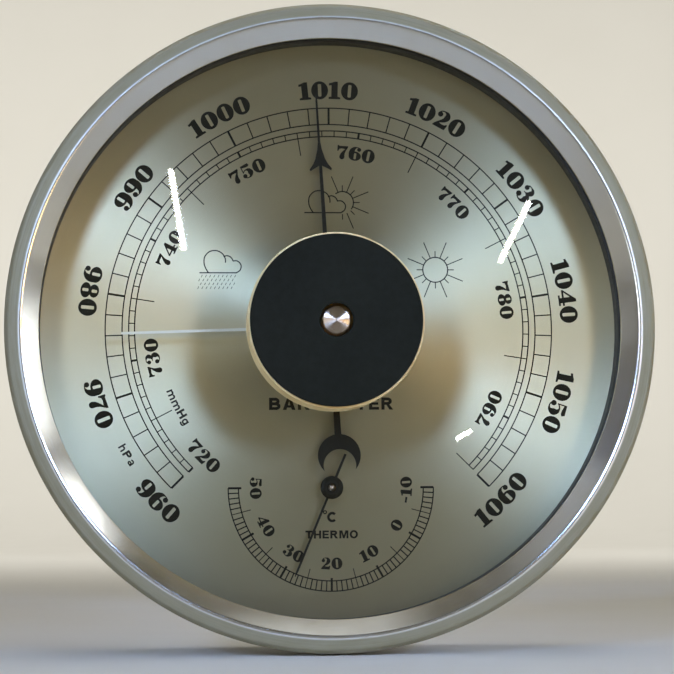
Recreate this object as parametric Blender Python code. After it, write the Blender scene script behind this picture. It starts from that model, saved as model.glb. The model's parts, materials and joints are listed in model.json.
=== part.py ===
"""Round ship's barometer with a small thermometer, modelled as its separate pieces.

Frame: the origin is the centre of the flat rear face, +Y points into the wall, the dial faces -Y,
+X is to the right as the dial is read and +Z is up. Lengths here are in millimetres and angles in
degrees; meshes are written in metres. A positive turn about +Y looks clockwise to the reader.
"""
import math

import bmesh
import bpy
from mathutils import Matrix, Vector

MM = 0.001                     # one millimetre in metres
GAP = 0.3                      # clearance between neighbouring pieces

# Case, from the wall (y = 0) to the front
BEZEL_RADIUS = 66.0
OPENING_RADIUS = 59.2
CREST_RADIUS = 62.6
CREST_Y = -36.2
LIP_Y = -33.5
SKIRT_REAR_Y = -26.5
BARREL_RADIUS = 62.0
BARREL_WALL = 1.0
BARREL_REAR_Y = -2.3
COVER_RADIUS = 52.3
COVER_THICKNESS = 1.2
GLASS_RADIUS = 62.6
GLASS_FRONT_Y = -32.6
GLASS_BACK_Y = -30.6
WALL_RADIUS = 59.4             # inside of the gasket and of the spacer
DIAL_RADIUS = 62.4
DIAL_Y = -25.5
DIAL_THICKNESS = 0.8
DIAL_BACK_Y = DIAL_Y + DIAL_THICKNESS

# Centre knob, which turns the set hand
KNOB_RADIUS = 17.6
KNOB_REAR_RADIUS = 17.6
KNOB_FACE_RADIUS = 17.15
KNOB_BASE_Y = -33.7
KNOB_MID_Y = -38.7
KNOB_TOP_Y = -43.8
KNOB_FACE_Y = -44.9
KNOB_BORE = 3.3
CAP_RADIUS = 2.75
SPINDLE_RADIUS = 1.2

# Hands: plane of each, and the angle that each shows at rest
PRESSURE_HAND_Y = -28.6
SET_HAND_Y = -30.2
THERMO_HAND_Y = -27.3
HAND_SHEET = 0.3
PRESSURE_REST = -3.3
SET_REST = -91.8
THERMO_REST = 180.0 + 22.8     # straight down is 180
THERMO_Z = -32.75              # the thermometer's centre, below the dial's

# Movement
BASE_PLATE_Y = -4.6
BASE_PLATE_THICKNESS = 1.2
BRIDGE_Y = -16.2
FRONT_PLATE_Y = -21.6
PLATE_THICKNESS = 1.0
PLATE_POSTS = ((-30.0, 15.0), (-30.0, -15.0), (15.0, 0.0))
PLATE_CORNER = 4.5
DIAL_POST_CIRCLE = 50.0
DIAL_POST_ANGLES = (30.0, 150.0, 270.0)
GEAR_MODULE = 0.4
PINION_TEETH = 12
SECTOR_TEETH = 108             # for a whole turn; only the meshing arc is cut
SECTOR_CUT_TEETH = 6           # on each side of the middle tooth
PRESSURE_ANGLE = math.radians(25.0)
TOOTH_THINNING = 0.04          # taken off each flank at the pitch circle
GEAR_CENTRES = GEAR_MODULE * (PINION_TEETH + SECTOR_TEETH) / 2
SECTOR_X = -GEAR_CENTRES
SECTOR_Y = -18.9
SECTOR_SHEET = 0.8
TAIL_PIN_REACH = 3.0
TAIL_PIN_RADIUS = 0.35
ROCKER_Y = -13.8
ROCKER_Z = -0.85
ROCKER_LEVER = 2.0
CAPSULE_X = -8.0
CAPSULE_Z = ROCKER_Z - ROCKER_LEVER
CAPSULE_RADIUS = 19.0
CAPSULE_REAR_Y = -5.3
CAPSULE_FRONT_Y = -11.1
KEYHOLE_Z = 31.0
KEYHOLE_HEAD = 4.6
KEYHOLE_SLOT = 2.4
KEYHOLE_RISE = 9.0

# Turns that stand a piece made about Y, or drawn in the X-Z plane, another way up
Y_TO_X = Matrix(((0, 1, 0), (-1, 0, 0), (0, 0, 1)))
XZ_TO_ZY = Matrix(((0, 1, 0), (0, 0, 1), (1, 0, 0)))
XZ_TO_XY = Matrix(((1, 0, 0), (0, 0, 1), (0, -1, 0)))

# Segments of round pieces, by size
LARGE = 40
MEDIUM = 24
SMALL = 16
TINY = 12

FINISHES = {
    "bezel_steel": ((0.60, 0.60, 0.57), 0.28, 1.0),
    "case_steel": ((0.55, 0.55, 0.53), 0.35, 1.0),
    "dial_silver": ((0.58, 0.59, 0.55), 0.35, 1.0),
    "black_print": ((0.02, 0.02, 0.02), 0.45, 0.0),
    "knob_black": ((0.012, 0.014, 0.017), 0.75, 0.0),
    "knob_cream": ((0.62, 0.55, 0.36), 0.60, 0.0),
    "bright_steel": ((0.70, 0.68, 0.66), 0.22, 1.0),
    "pale_gilt": ((0.78, 0.74, 0.60), 0.35, 1.0),
    "brass": ((0.72, 0.53, 0.22), 0.32, 1.0),
    "steel": ((0.45, 0.45, 0.45), 0.38, 1.0),
    "black_rubber": ((0.02, 0.02, 0.02), 0.80, 0.0),
    "clear_glass": ((0.92, 0.96, 0.94), 0.03, 0.0),
}


def clear_scene():
    for item in list(bpy.data.objects):
        bpy.data.objects.remove(item)


def finish(name):
    """The Principled material of a named finish, made once."""
    found = bpy.data.materials.get(name)
    if found:
        return found
    color, roughness, metallic = FINISHES[name]
    made = bpy.data.materials.new(name)
    made.use_nodes = True
    shader = made.node_tree.nodes["Principled BSDF"]
    shader.inputs["Base Color"].default_value = (*color, 1.0)
    shader.inputs["Roughness"].default_value = roughness
    shader.inputs["Metallic"].default_value = metallic
    if name == "clear_glass":
        shader.inputs["Transmission Weight"].default_value = 1.0
    return made


def pivot(name, x, z):
    """An empty on a joint's axis, which the moving body's pieces hang from."""
    empty = bpy.data.objects.new(name, None)
    empty.empty_display_size = 0.01
    empty.location = (x * MM, 0.0, z * MM)
    bpy.context.collection.objects.link(empty)
    return empty


def add_piece(name, bm, slot, parent=None, place=(0.0, 0.0, 0.0), turn=0.0):
    """Store a bmesh as a named object, placed in millimetres and turned about Y in degrees."""
    bmesh.ops.recalc_face_normals(bm, faces=bm.faces)
    mesh = bpy.data.meshes.new(name)
    bm.to_mesh(mesh)
    bm.free()
    mesh.materials.append(finish(slot))
    mesh.shade_smooth()
    mesh.set_sharp_from_angle(angle=math.radians(30))
    piece = bpy.data.objects.new(name, mesh)
    piece.location = Vector(place) * MM
    piece.rotation_euler = (0.0, math.radians(turn), 0.0)
    piece.parent = parent
    bpy.context.collection.objects.link(piece)
    return piece


def turned_bmesh(profile, steps, closed=True):
    """Spin a profile of (radius, y) points about the Y axis."""
    bm = bmesh.new()
    verts = [bm.verts.new((radius * MM, y * MM, 0.0)) for radius, y in profile]
    edges = [bm.edges.new(pair) for pair in zip(verts, verts[1:])]
    if closed:
        edges.append(bm.edges.new((verts[-1], verts[0])))
    bmesh.ops.spin(bm, geom=verts + edges, cent=(0, 0, 0), axis=(0, 1, 0),
                   angle=2 * math.pi, steps=steps, use_merge=True)
    bmesh.ops.remove_doubles(bm, verts=bm.verts, dist=1e-6)
    return bm


def turned(name, profile, steps, slot, parent=None, place=(0.0, 0.0, 0.0), closed=True):
    """A turned piece; an open profile starts and ends on the axis."""
    return add_piece(name, turned_bmesh(profile, steps, closed), slot, parent, place)


def ring(name, inner, outer, front, back, steps, slot, parent=None, place=(0.0, 0.0, 0.0)):
    """A plain washer or tube between two radii and two depths."""
    profile = ((inner, front), (outer, front), (outer, back), (inner, back))
    return turned(name, profile, steps, slot, parent, place)


def sheet_bmesh(loops, front, back):
    """Fill the first loop of (x, z) points less the other loops, and give it thickness."""
    bm = bmesh.new()
    for loop in loops:
        verts = [bm.verts.new((x * MM, front * MM, z * MM)) for x, z in loop]
        for first, second in zip(verts, verts[1:] + verts[:1]):
            bm.edges.new((first, second))
    bmesh.ops.triangle_fill(bm, edges=bm.edges, use_beauty=True, normal=(0, -1, 0))
    grown = bmesh.ops.extrude_face_region(bm, geom=bm.faces[:])
    moved = [item for item in grown["geom"] if isinstance(item, bmesh.types.BMVert)]
    bmesh.ops.translate(bm, verts=moved, vec=(0.0, (back - front) * MM, 0.0))
    return bm


def sheet(name, loops, front, back, slot, parent=None, place=(0.0, 0.0, 0.0), turn=0.0):
    return add_piece(name, sheet_bmesh(loops, front, back), slot, parent, place, turn)


def arc(radius, start, end, count, centre=(0.0, 0.0)):
    """Points on an arc in the dial's plane; 0 is +X, and angles grow toward +Z."""
    angles = [math.radians(start + (end - start) * i / count) for i in range(count + 1)]
    return [(centre[0] + radius * math.cos(a), centre[1] + radius * math.sin(a)) for a in angles]


def circle(radius, count, centre=(0.0, 0.0)):
    return arc(radius, 0.0, 360.0, count, centre)[:-1]


def polar(radius, angle):
    """The single point at a radius and an angle in degrees."""
    return arc(radius, angle, angle, 1)[0]


def box_cutter(name, low, high, parent=None):
    """A hidden box between two corners, to cut with or to join."""
    bm = bmesh.new()
    bmesh.ops.create_cube(bm, size=1.0)
    size = (Vector(high) - Vector(low)) * MM
    middle = (Vector(high) + Vector(low)) / 2 * MM
    bmesh.ops.scale(bm, vec=size, verts=bm.verts)
    bmesh.ops.translate(bm, vec=middle, verts=bm.verts)
    return hide(add_piece(name, bm, "steel", parent))


def rod_cutter(name, radius, front, back, steps, place, parent=None):
    """A hidden rod along Y, to cut with or to join."""
    profile = ((0.0, front), (radius, front), (radius, back), (0.0, back))
    rod = turned(name, profile, steps, "steel", parent, place, closed=False)
    rod.rotation_euler[1] = math.pi / steps    # keeps its corners off its neighbour's edges
    return hide(rod)


def hide(piece):
    piece.hide_render = True
    piece.display_type = "WIRE"
    return piece


def combine(piece, tool, operation):
    """Cut one piece by another, or join it, with an exact Boolean."""
    modifier = piece.modifiers.new(tool.name, "BOOLEAN")
    modifier.operation = operation
    modifier.solver = "EXACT"
    modifier.object = tool


def make_bezel():
    """Spun ring: polished inner flank, rounded crest, satin outer band and a straight skirt."""
    profile = (
        (OPENING_RADIUS, LIP_Y), (59.7, -33.9), (61.7, -35.6), (CREST_RADIUS, CREST_Y),
        (63.4, -36.1), (64.9, -35.5), (65.7, -34.7), (BEZEL_RADIUS, -33.6),
        (BEZEL_RADIUS, SKIRT_REAR_Y), (65.2, SKIRT_REAR_Y), (65.2, -33.4), (64.4, -34.5),
        (62.9, -35.3), (62.0, -34.9), (60.0, -33.2), (OPENING_RADIUS, -32.9),
    )
    turned("bezel_ring", profile, LARGE, "bezel_steel")


def make_case_shell():
    """Spun barrel: wide front rim, shoulder under the dial, and a straight wall to the rear."""
    inner = BARREL_RADIUS - BARREL_WALL
    profile = (
        (64.6, -31.5), (64.6, -23.9), (62.9, -22.6), (BARREL_RADIUS, -21.5),
        (BARREL_RADIUS, BARREL_REAR_Y), (inner, BARREL_REAR_Y), (inner, -21.9), (62.2, -23.2),
        (63.6, -24.3), (63.6, -31.5),
    )
    turned("case_shell", profile, LARGE, "case_steel")


def make_rear_flange():
    """Joggled ring that closes the barrel's rear edge, rests on the wall and seats the cover."""
    edge = BARREL_REAR_Y + GAP
    rim = COVER_RADIUS + GAP
    ledge_y = -(COVER_THICKNESS + GAP)
    profile = (
        (61.9, edge), (61.4, -0.9), (60.4, -0.25), (58.8, 0.0), (rim, 0.0),
        (rim, ledge_y), (47.5, ledge_y), (47.5, ledge_y - 1.0), (rim + 1.0, ledge_y - 1.0),
        (rim + 1.0, -1.0), (58.9, -1.0), (60.2, edge),
    )
    flange = turned("rear_flange", profile, LARGE, "case_steel")
    for index, (x, z) in enumerate(cover_screw_places(), 1):
        hole = rod_cutter(f"ledge_hole_{index}", 1.1, -4.0, -0.5, SMALL, (x, 0.0, z))
        combine(flange, hole, "DIFFERENCE")


def cover_screw_places():
    return arc(49.7, 90.0, 330.0, 2)


def keyhole(margin=0.0):
    """Outline of the hanging slot: a round entry below a narrow rounded slot."""
    head = KEYHOLE_HEAD + margin
    slot = KEYHOLE_SLOT + margin
    lift = math.degrees(math.asin(slot / head))
    entry = arc(head, 90.0 + lift, 450.0 - lift, 14, (0.0, KEYHOLE_Z))
    top = arc(slot, 0.0, 180.0, 8, (0.0, KEYHOLE_Z + KEYHOLE_RISE))
    return entry + top


def make_rear_cover():
    """Flat rear disc: countersunk screw holes, keyhole, vents and the adjusting hole."""
    vents = [circle(1.3, TINY, (x, -38.0)) for x in (-9.0, -3.0, 3.0, 9.0)]
    rivets = [circle(1.5, TINY, (x, KEYHOLE_Z + 3.0)) for x in (-9.5, 9.5)]
    adjust = circle(3.1, SMALL, (CAPSULE_X, CAPSULE_Z))
    loops = [circle(COVER_RADIUS, LARGE), keyhole(), adjust] + vents + rivets
    cover = sheet("rear_cover", loops, -COVER_THICKNESS, 0.0, "case_steel")
    cone = ((0.0, -2.0), (1.5, -2.0), (1.5, -1.2), (2.8, 0.1), (2.8, 1.0), (0.0, 1.0))
    for index, (x, z) in enumerate(cover_screw_places(), 1):
        sink = turned(f"cover_sink_{index}", cone, SMALL, "steel", None, (x, 0.0, z), closed=False)
        combine(cover, hide(sink), "DIFFERENCE")


def make_cover_screws():
    """Countersunk slotted screws that hold the rear cover to the flange."""
    profile = ((0.0, -3.0), (0.8, -3.0), (0.8, -1.4), (2.3, -0.1), (0.0, -0.1))
    for index, (x, z) in enumerate(cover_screw_places(), 1):
        screw = turned(f"cover_screw_{index}", profile, TINY, "steel", None, (x, 0.0, z), False)
        slot = box_cutter(f"cover_slot_{index}", (-3.0, -0.6, -0.25), (3.0, 0.5, 0.25))
        slot.location = screw.location
        combine(screw, slot, "DIFFERENCE")


def make_hanger():
    """Stiffening plate behind the keyhole, with its two rivets."""
    front = -COVER_THICKNESS - GAP - 1.2
    corners = ((9.0, 40.0, 0.0), (-9.0, 40.0, 90.0), (-9.0, 25.0, 180.0), (9.0, 25.0, 270.0))
    outline = []
    for x, z, start in corners:
        outline += arc(4.0, start, start + 90.0, 3, (x, z))
    holes = [circle(1.5, TINY, (x, KEYHOLE_Z + 3.0)) for x in (-9.5, 9.5)]
    sheet("hanger_plate", [outline, keyhole()] + holes, front, -COVER_THICKNESS - GAP, "steel")
    head = front - GAP
    profile = ((0.0, -0.1), (1.2, -0.1), (1.2, head), (2.2, head), (1.8, head - 0.8),
               (0.0, head - 0.9))
    for index, x in enumerate((-9.5, 9.5), 1):
        place = (x, 0.0, KEYHOLE_Z + 3.0)
        turned(f"hanger_rivet_{index}", profile, TINY, "steel", None, place, closed=False)


def make_glazing():
    """Front glass with its rubber gasket and the dark spacer that stands on the dial."""
    ring("front_glass", 3.2, GLASS_RADIUS, GLASS_FRONT_Y, GLASS_BACK_Y, LARGE, "clear_glass")
    seat = GLASS_BACK_Y + GAP
    ring("glass_gasket", WALL_RADIUS, GLASS_RADIUS, seat, -29.5, LARGE, "black_rubber")
    ring("spacer_ring", WALL_RADIUS, GLASS_RADIUS, -29.2, DIAL_Y - GAP, LARGE, "black_rubber")


def make_dial():
    """Dial plate with holes for the pressure arbor and the thermometer's bush."""
    loops = [circle(DIAL_RADIUS, LARGE), circle(2.0, SMALL), circle(1.7, SMALL, (0.0, THERMO_Z))]
    sheet("dial_plate", loops, DIAL_Y, DIAL_BACK_Y, "dial_silver")


def make_base_plate():
    """Rear plate of the movement, open behind the keyhole for the wall screw's head."""
    posts = [circle(1.5, TINY, place) for place in PLATE_POSTS + tuple(dial_post_places())]
    stud = circle(1.6, TINY, (CAPSULE_X, CAPSULE_Z))
    window = circle(13.5, MEDIUM, (0.0, 34.5))
    loops = [circle(53.5, LARGE), stud, window] + posts
    sheet("base_plate", loops, BASE_PLATE_Y, BASE_PLATE_Y + BASE_PLATE_THICKNESS, "steel")


def dial_post_places():
    return [polar(DIAL_POST_CIRCLE, angle) for angle in DIAL_POST_ANGLES]


def make_dial_posts():
    """Long posts between the base plate and the dial, riveted through the base plate."""
    shoulder = BASE_PLATE_Y - GAP
    front = DIAL_BACK_Y + GAP
    profile = ((0.0, front), (2.0, front), (2.0, shoulder), (1.2, shoulder), (1.2, -3.3), (0.0, -3.3))
    for index, (x, z) in enumerate(dial_post_places(), 1):
        turned(f"dial_post_{index}", profile, TINY, "brass", None, (x, 0.0, z), closed=False)


def plate_outline():
    """Rounded triangle around the three posts of the movement."""
    outline = arc(PLATE_CORNER, 108.0, 180.0, 4, PLATE_POSTS[0])
    outline += arc(PLATE_CORNER, 180.0, 252.0, 4, PLATE_POSTS[1])
    outline += arc(PLATE_CORNER, -72.0, 72.0, 7, PLATE_POSTS[2])
    return outline


def make_movement_plates():
    """Front plate and bridge, which carry the pointer arbor and the sector between them."""
    screws = [circle(1.1, TINY, place) for place in PLATE_POSTS]
    pivots = [circle(1.0, TINY), circle(0.9, TINY, (SECTOR_X, 0.0))]
    front_loops = [plate_outline()] + screws + pivots
    sheet("front_plate", front_loops, FRONT_PLATE_Y, FRONT_PLATE_Y + PLATE_THICKNESS, "brass")
    pin_x = SECTOR_X - TAIL_PIN_REACH
    slot = [(pin_x - 1.4, -2.4), (pin_x + 1.4, -2.4), (pin_x + 1.4, 0.8), (pin_x - 1.4, 0.8)]
    sheet("bridge_plate", front_loops + [slot], BRIDGE_Y, BRIDGE_Y + PLATE_THICKNESS, "brass")


def make_pillars():
    """Spacers at the three posts: short ones before the bridge, long ones behind it."""
    short_front = FRONT_PLATE_Y + PLATE_THICKNESS + GAP
    short_back = BRIDGE_Y - GAP
    long_front = BRIDGE_Y + PLATE_THICKNESS + GAP
    shoulder = BASE_PLATE_Y - GAP
    blind = ((1.1, long_front), (1.9, long_front), (1.9, shoulder), (1.2, shoulder),
             (1.2, -3.3), (0.0, -3.3), (0.0, -8.0), (1.1, -8.0))
    head = FRONT_PLATE_Y - GAP
    screw = ((0.0, head - 1.1), (1.5, head - 1.1), (1.9, head - 0.8), (1.9, head), (0.8, head),
             (0.8, -9.0), (0.0, -9.0))
    for index, (x, z) in enumerate(PLATE_POSTS, 1):
        place = (x, 0.0, z)
        ring(f"front_pillar_{index}", 1.1, 1.9, short_front, short_back, TINY, "brass", None, place)
        turned(f"rear_pillar_{index}", blind, TINY, "brass", None, place)
        bolt = turned(f"plate_screw_{index}", screw, TINY, "steel", None, place, closed=False)
        slot = box_cutter(f"plate_slot_{index}", (-3.0, head - 2.0, -0.25), (3.0, head - 0.6, 0.25))
        slot.location = bolt.location
        combine(bolt, slot, "DIFFERENCE")


def make_capsule():
    """Corrugated aneroid capsule with a small hub on each face."""
    middle = (CAPSULE_REAR_Y + CAPSULE_FRONT_Y) / 2
    waves = 8
    front, back = [], []
    for i in range(waves + 1):
        radius = 4.0 + (CAPSULE_RADIUS - 4.6) * i / waves
        swell = 1.9 * (1.0 - (radius / CAPSULE_RADIUS) ** 2) + 0.5
        half = swell + (0.28 if i % 2 else -0.12)
        front.append((radius, middle - half))
        back.append((radius, middle + half))
    hub_front = [(0.0, CAPSULE_FRONT_Y), (3.0, CAPSULE_FRONT_Y), (3.2, CAPSULE_FRONT_Y + 0.6)]
    hub_back = [(3.2, CAPSULE_REAR_Y - 0.6), (3.0, CAPSULE_REAR_Y), (0.0, CAPSULE_REAR_Y)]
    rim = [(CAPSULE_RADIUS, middle - 0.4), (CAPSULE_RADIUS, middle + 0.4)]
    profile = hub_front + front + rim + back[::-1] + hub_back
    place = (CAPSULE_X, 0.0, CAPSULE_Z)
    turned("aneroid_capsule", profile, MEDIUM, "pale_gilt", None, place, closed=False)


def make_capsule_post():
    """Foot and pin that carry the capsule's swelling to the rocking shaft's lever."""
    axis = pivot("capsule_post_axis", CAPSULE_X, CAPSULE_Z)
    foot = CAPSULE_FRONT_Y - 0.6
    tip = ROCKER_Y + 0.7
    profile = ((0.0, tip), (0.5, tip), (0.8, tip + 0.3), (0.8, foot - 0.5), (2.2, foot - 0.5),
               (2.2, foot), (0.0, foot))
    turned("capsule_post", profile, SMALL, "brass", axis, closed=False)


def make_adjusting_screw():
    """Slotted screw reached from the rear, which shifts the capsule to set the reading."""
    axis = pivot("adjusting_screw_axis", CAPSULE_X, CAPSULE_Z)
    tip = BASE_PLATE_Y - GAP
    profile = ((0.0, tip), (1.2, tip), (1.2, -2.6), (2.7, -2.6), (2.7, -0.9), (2.3, -0.5), (0.0, -0.5))
    screw = turned("adjusting_screw", profile, SMALL, "brass", axis, closed=False)
    slot = box_cutter("adjusting_slot", (-4.0, -1.5, -0.4), (4.0, 1.0, 0.4), axis)
    combine(screw, slot, "DIFFERENCE")


def make_rocker():
    """Rocking shaft with its lever over the capsule and its arm at the sector's tail pin."""
    axis = bpy.data.objects.new("rocking_shaft_axis", None)
    axis.empty_display_size = 0.01
    axis.location = (0.0, ROCKER_Y * MM, ROCKER_Z * MM)
    bpy.context.collection.objects.link(axis)
    bm = turned_bmesh(((0.0, -4.0), (0.5, -4.0), (0.5, -32.0), (0.0, -32.0)), TINY, closed=False)
    bmesh.ops.rotate(bm, cent=(0, 0, 0), matrix=Y_TO_X, verts=bm.verts)
    shaft = add_piece("rocking_shaft", bm, "steel", axis)
    pin_x = SECTOR_X - TAIL_PIN_REACH
    reach = SECTOR_Y + SECTOR_SHEET + GAP - ROCKER_Y
    arm = box_cutter("rocker_arm", (pin_x - 1.0, reach, -0.25), (pin_x + 1.0, 0.2, 0.25), axis)
    lever_low = (CAPSULE_X - 1.0, -0.3, -ROCKER_LEVER - 0.9)
    lever = box_cutter("rocker_lever", lever_low, (CAPSULE_X + 1.0, 0.3, 0.2), axis)
    combine(shaft, arm, "UNION")
    combine(shaft, lever, "UNION")


def make_rocker_brackets():
    """Bearing blocks of the rocking shaft, standing on the rear of the bridge."""
    front = BRIDGE_Y + PLATE_THICKNESS + GAP
    for side, x in (("left", -31.8), ("right", -5.6)):
        outline = [(-2.2, front), (2.2, front), (2.2, front + 0.7), (1.5, -12.4), (-1.5, -12.4),
                   (-2.2, front + 0.7)]
        outline = [(z + ROCKER_Z, y) for z, y in outline]
        hole = circle(0.8, TINY, (ROCKER_Z, ROCKER_Y))
        bm = sheet_bmesh([outline, hole], x, x + 1.2)
        bmesh.ops.rotate(bm, cent=(0, 0, 0), matrix=XZ_TO_ZY, verts=bm.verts)
        add_piece(f"rocker_bracket_{side}", bm, "brass")


def involute(angle):
    return math.tan(angle) - angle


def tooth(teeth, centre, root):
    """Flank points of one involute tooth, centred on an angle in radians, as (x, z) points."""
    pitch = GEAR_MODULE * teeth / 2
    base = pitch * math.cos(PRESSURE_ANGLE)
    outer = pitch + GEAR_MODULE
    half = math.pi / (2 * teeth) - TOOTH_THINNING / pitch + involute(PRESSURE_ANGLE)
    start = max(base, root)
    flank = []
    if root < base:
        flank.append((root, half))
    for i in range(5):
        radius = start + (outer - start) * i / 4
        flank.append((radius, half - involute(math.acos(base / radius))))
    rising = [(radius, centre - angle) for radius, angle in flank]
    falling = [(radius, centre + angle) for radius, angle in reversed(flank)]
    return [(radius * math.cos(a), radius * math.sin(a)) for radius, a in rising + falling]


def make_pinion(axis):
    """Pointer pinion, with a tooth space facing the sector at rest."""
    root = GEAR_MODULE * (PINION_TEETH / 2 - 1.25)
    step = 2 * math.pi / PINION_TEETH
    outline = []
    for i in range(PINION_TEETH):
        outline += tooth(PINION_TEETH, (i + 0.5) * step, root)
    sheet("pinion", [outline, circle(1.0, SMALL)], SECTOR_Y - 1.2, SECTOR_Y + 2.0, "brass", axis)


def make_sector():
    """Sector gear on its arbor, with a middle tooth facing the pinion at rest and a tail pin."""
    axis = pivot("sector_axis", SECTOR_X, 0.0)
    pitch = GEAR_MODULE * SECTOR_TEETH / 2
    root = pitch - 1.25 * GEAR_MODULE
    step = 2 * math.pi / SECTOR_TEETH
    edge = math.degrees((SECTOR_CUT_TEETH + 0.9) * step)
    outline = [polar(root, -edge)]
    for i in range(-SECTOR_CUT_TEETH, SECTOR_CUT_TEETH + 1):
        outline += tooth(SECTOR_TEETH, i * step, root)
    outline += [polar(root, edge), polar(root - 2.2, edge)]
    outline += arc(2.6, 70.0, 150.0, 5)
    outline += arc(1.7, 100.0, 260.0, 6, (-TAIL_PIN_REACH - 1.2, 0.0))
    outline += arc(2.6, 210.0, 290.0, 5) + [polar(root - 2.2, -edge)]
    window = arc(root - 2.4, -13.0, 13.0, 6) + arc(6.5, 13.0, -13.0, 3)
    loops = [outline, circle(0.9, TINY), window]
    gear = sheet("sector_gear", loops, SECTOR_Y, SECTOR_Y + SECTOR_SHEET, "brass", axis)
    pin = rod_cutter("tail_pin", TAIL_PIN_RADIUS, SECTOR_Y + 0.4, BRIDGE_Y - 0.4, TINY,
                     (-TAIL_PIN_REACH, 0.0, 0.0), axis)
    combine(gear, pin, "UNION")
    profile = ((0.0, FRONT_PLATE_Y + 0.2), (0.6, FRONT_PLATE_Y + 0.2), (0.6, BRIDGE_Y + 0.7),
               (0.0, BRIDGE_Y + 0.7))
    turned("sector_arbor", profile, TINY, "steel", axis, closed=False)


def make_hairspring():
    """Flat spiral that takes up the play, its collet's neighbour, and the stud at its end."""
    front, back = -23.7, -22.9
    turns, inner, outer, half = 4, 2.5, 7.0, 0.1
    count = turns * SMALL
    spiral = []
    for i in range(count + 1):
        angle = math.radians(45.0) + 2 * math.pi * turns * i / count
        radius = inner + (outer - inner) * i / count
        spiral.append((radius, angle))
    outside = [((r + half) * math.cos(a), (r + half) * math.sin(a)) for r, a in spiral]
    inside = [((r - half) * math.cos(a), (r - half) * math.sin(a)) for r, a in reversed(spiral)]
    sheet("hairspring", [outside + inside], front, back, "steel")
    profile = ((0.0, -24.2), (0.8, -24.2), (0.8, FRONT_PLATE_Y - GAP), (0.0, FRONT_PLATE_Y - GAP))
    reach = (outer + 1.3) * math.cos(math.radians(45.0))
    turned("hairspring_stud", profile, TINY, "brass", None, (reach, 0.0, reach), closed=False)


def hand_tail():
    """Crescent tail: stem, outer circle, and a smaller circle set outward that hollows it."""
    crown, outer, inner, shift = 26.3, 4.37, 3.33, 2.03
    along = (outer ** 2 - inner ** 2 + shift ** 2) / (2 * shift)
    spread = math.degrees(math.acos(along / outer))
    inner_spread = math.degrees(math.acos((along - shift) / inner))
    lift = math.degrees(math.asin(0.68 / outer))
    left = arc(outer, 90.0 + lift, 270.0 - spread, 9, (0.0, -crown))
    hollow = arc(inner, 270.0 - inner_spread, inner_spread - 90.0, 12, (0.0, -crown - shift))
    right = arc(outer, spread - 90.0, 90.0 - lift, 9, (0.0, -crown))
    return left + hollow[1:-1] + right


def make_pressure_hand(axis):
    """Black hand: thin spike, barbed arrowhead, tapering stem, boss and crescent tail."""
    boss, stem_root, stem_head = 3.6, 0.55, 0.3
    side = [(0.1, 48.6), (0.22, 47.0), (0.24, 38.4), (0.5, 36.6), (1.1, 34.8), (2.3, 33.0),
            (2.1, 32.7), (1.3, 33.4), (stem_head, 33.7)]
    flare = math.degrees(math.asin(stem_root / boss))
    tail_flare = math.degrees(math.asin(0.68 / boss))
    right = side + arc(boss, 90.0 - flare, tail_flare - 90.0, 7)
    left = arc(boss, 270.0 - tail_flare, 90.0 + flare, 7) + [(-x, z) for x, z in reversed(side)]
    outline = right + hand_tail()[::-1] + left
    loops = [outline, circle(1.05, SMALL)]
    front = PRESSURE_HAND_Y
    sheet("pressure_hand", loops, front, front + HAND_SHEET, "black_print", axis, turn=PRESSURE_REST)


def make_pointer():
    """Everything that turns with the pressure hand."""
    axis = pivot("pressure_hand_axis", 0.0, 0.0)
    make_pressure_hand(axis)
    seat = PRESSURE_HAND_Y + HAND_SHEET + GAP
    hub = ((1.0, seat), (2.7, seat), (2.7, seat + 0.5), (1.7, seat + 0.7), (1.7, -26.3), (1.0, -26.3))
    turned("pressure_hand_hub", hub, SMALL, "brass", axis)
    arbor = ((0.0, PRESSURE_HAND_Y - 0.3), (0.6, PRESSURE_HAND_Y - 0.3),
             (0.75, PRESSURE_HAND_Y - 0.1), (0.75, BRIDGE_Y + 0.6), (0.0, BRIDGE_Y + 0.6))
    turned("pointer_arbor", arbor, SMALL, "steel", axis, closed=False)
    ring("hairspring_collet", 1.0, 2.0, -23.9, -22.5, SMALL, "brass", axis)
    make_pinion(axis)


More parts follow.
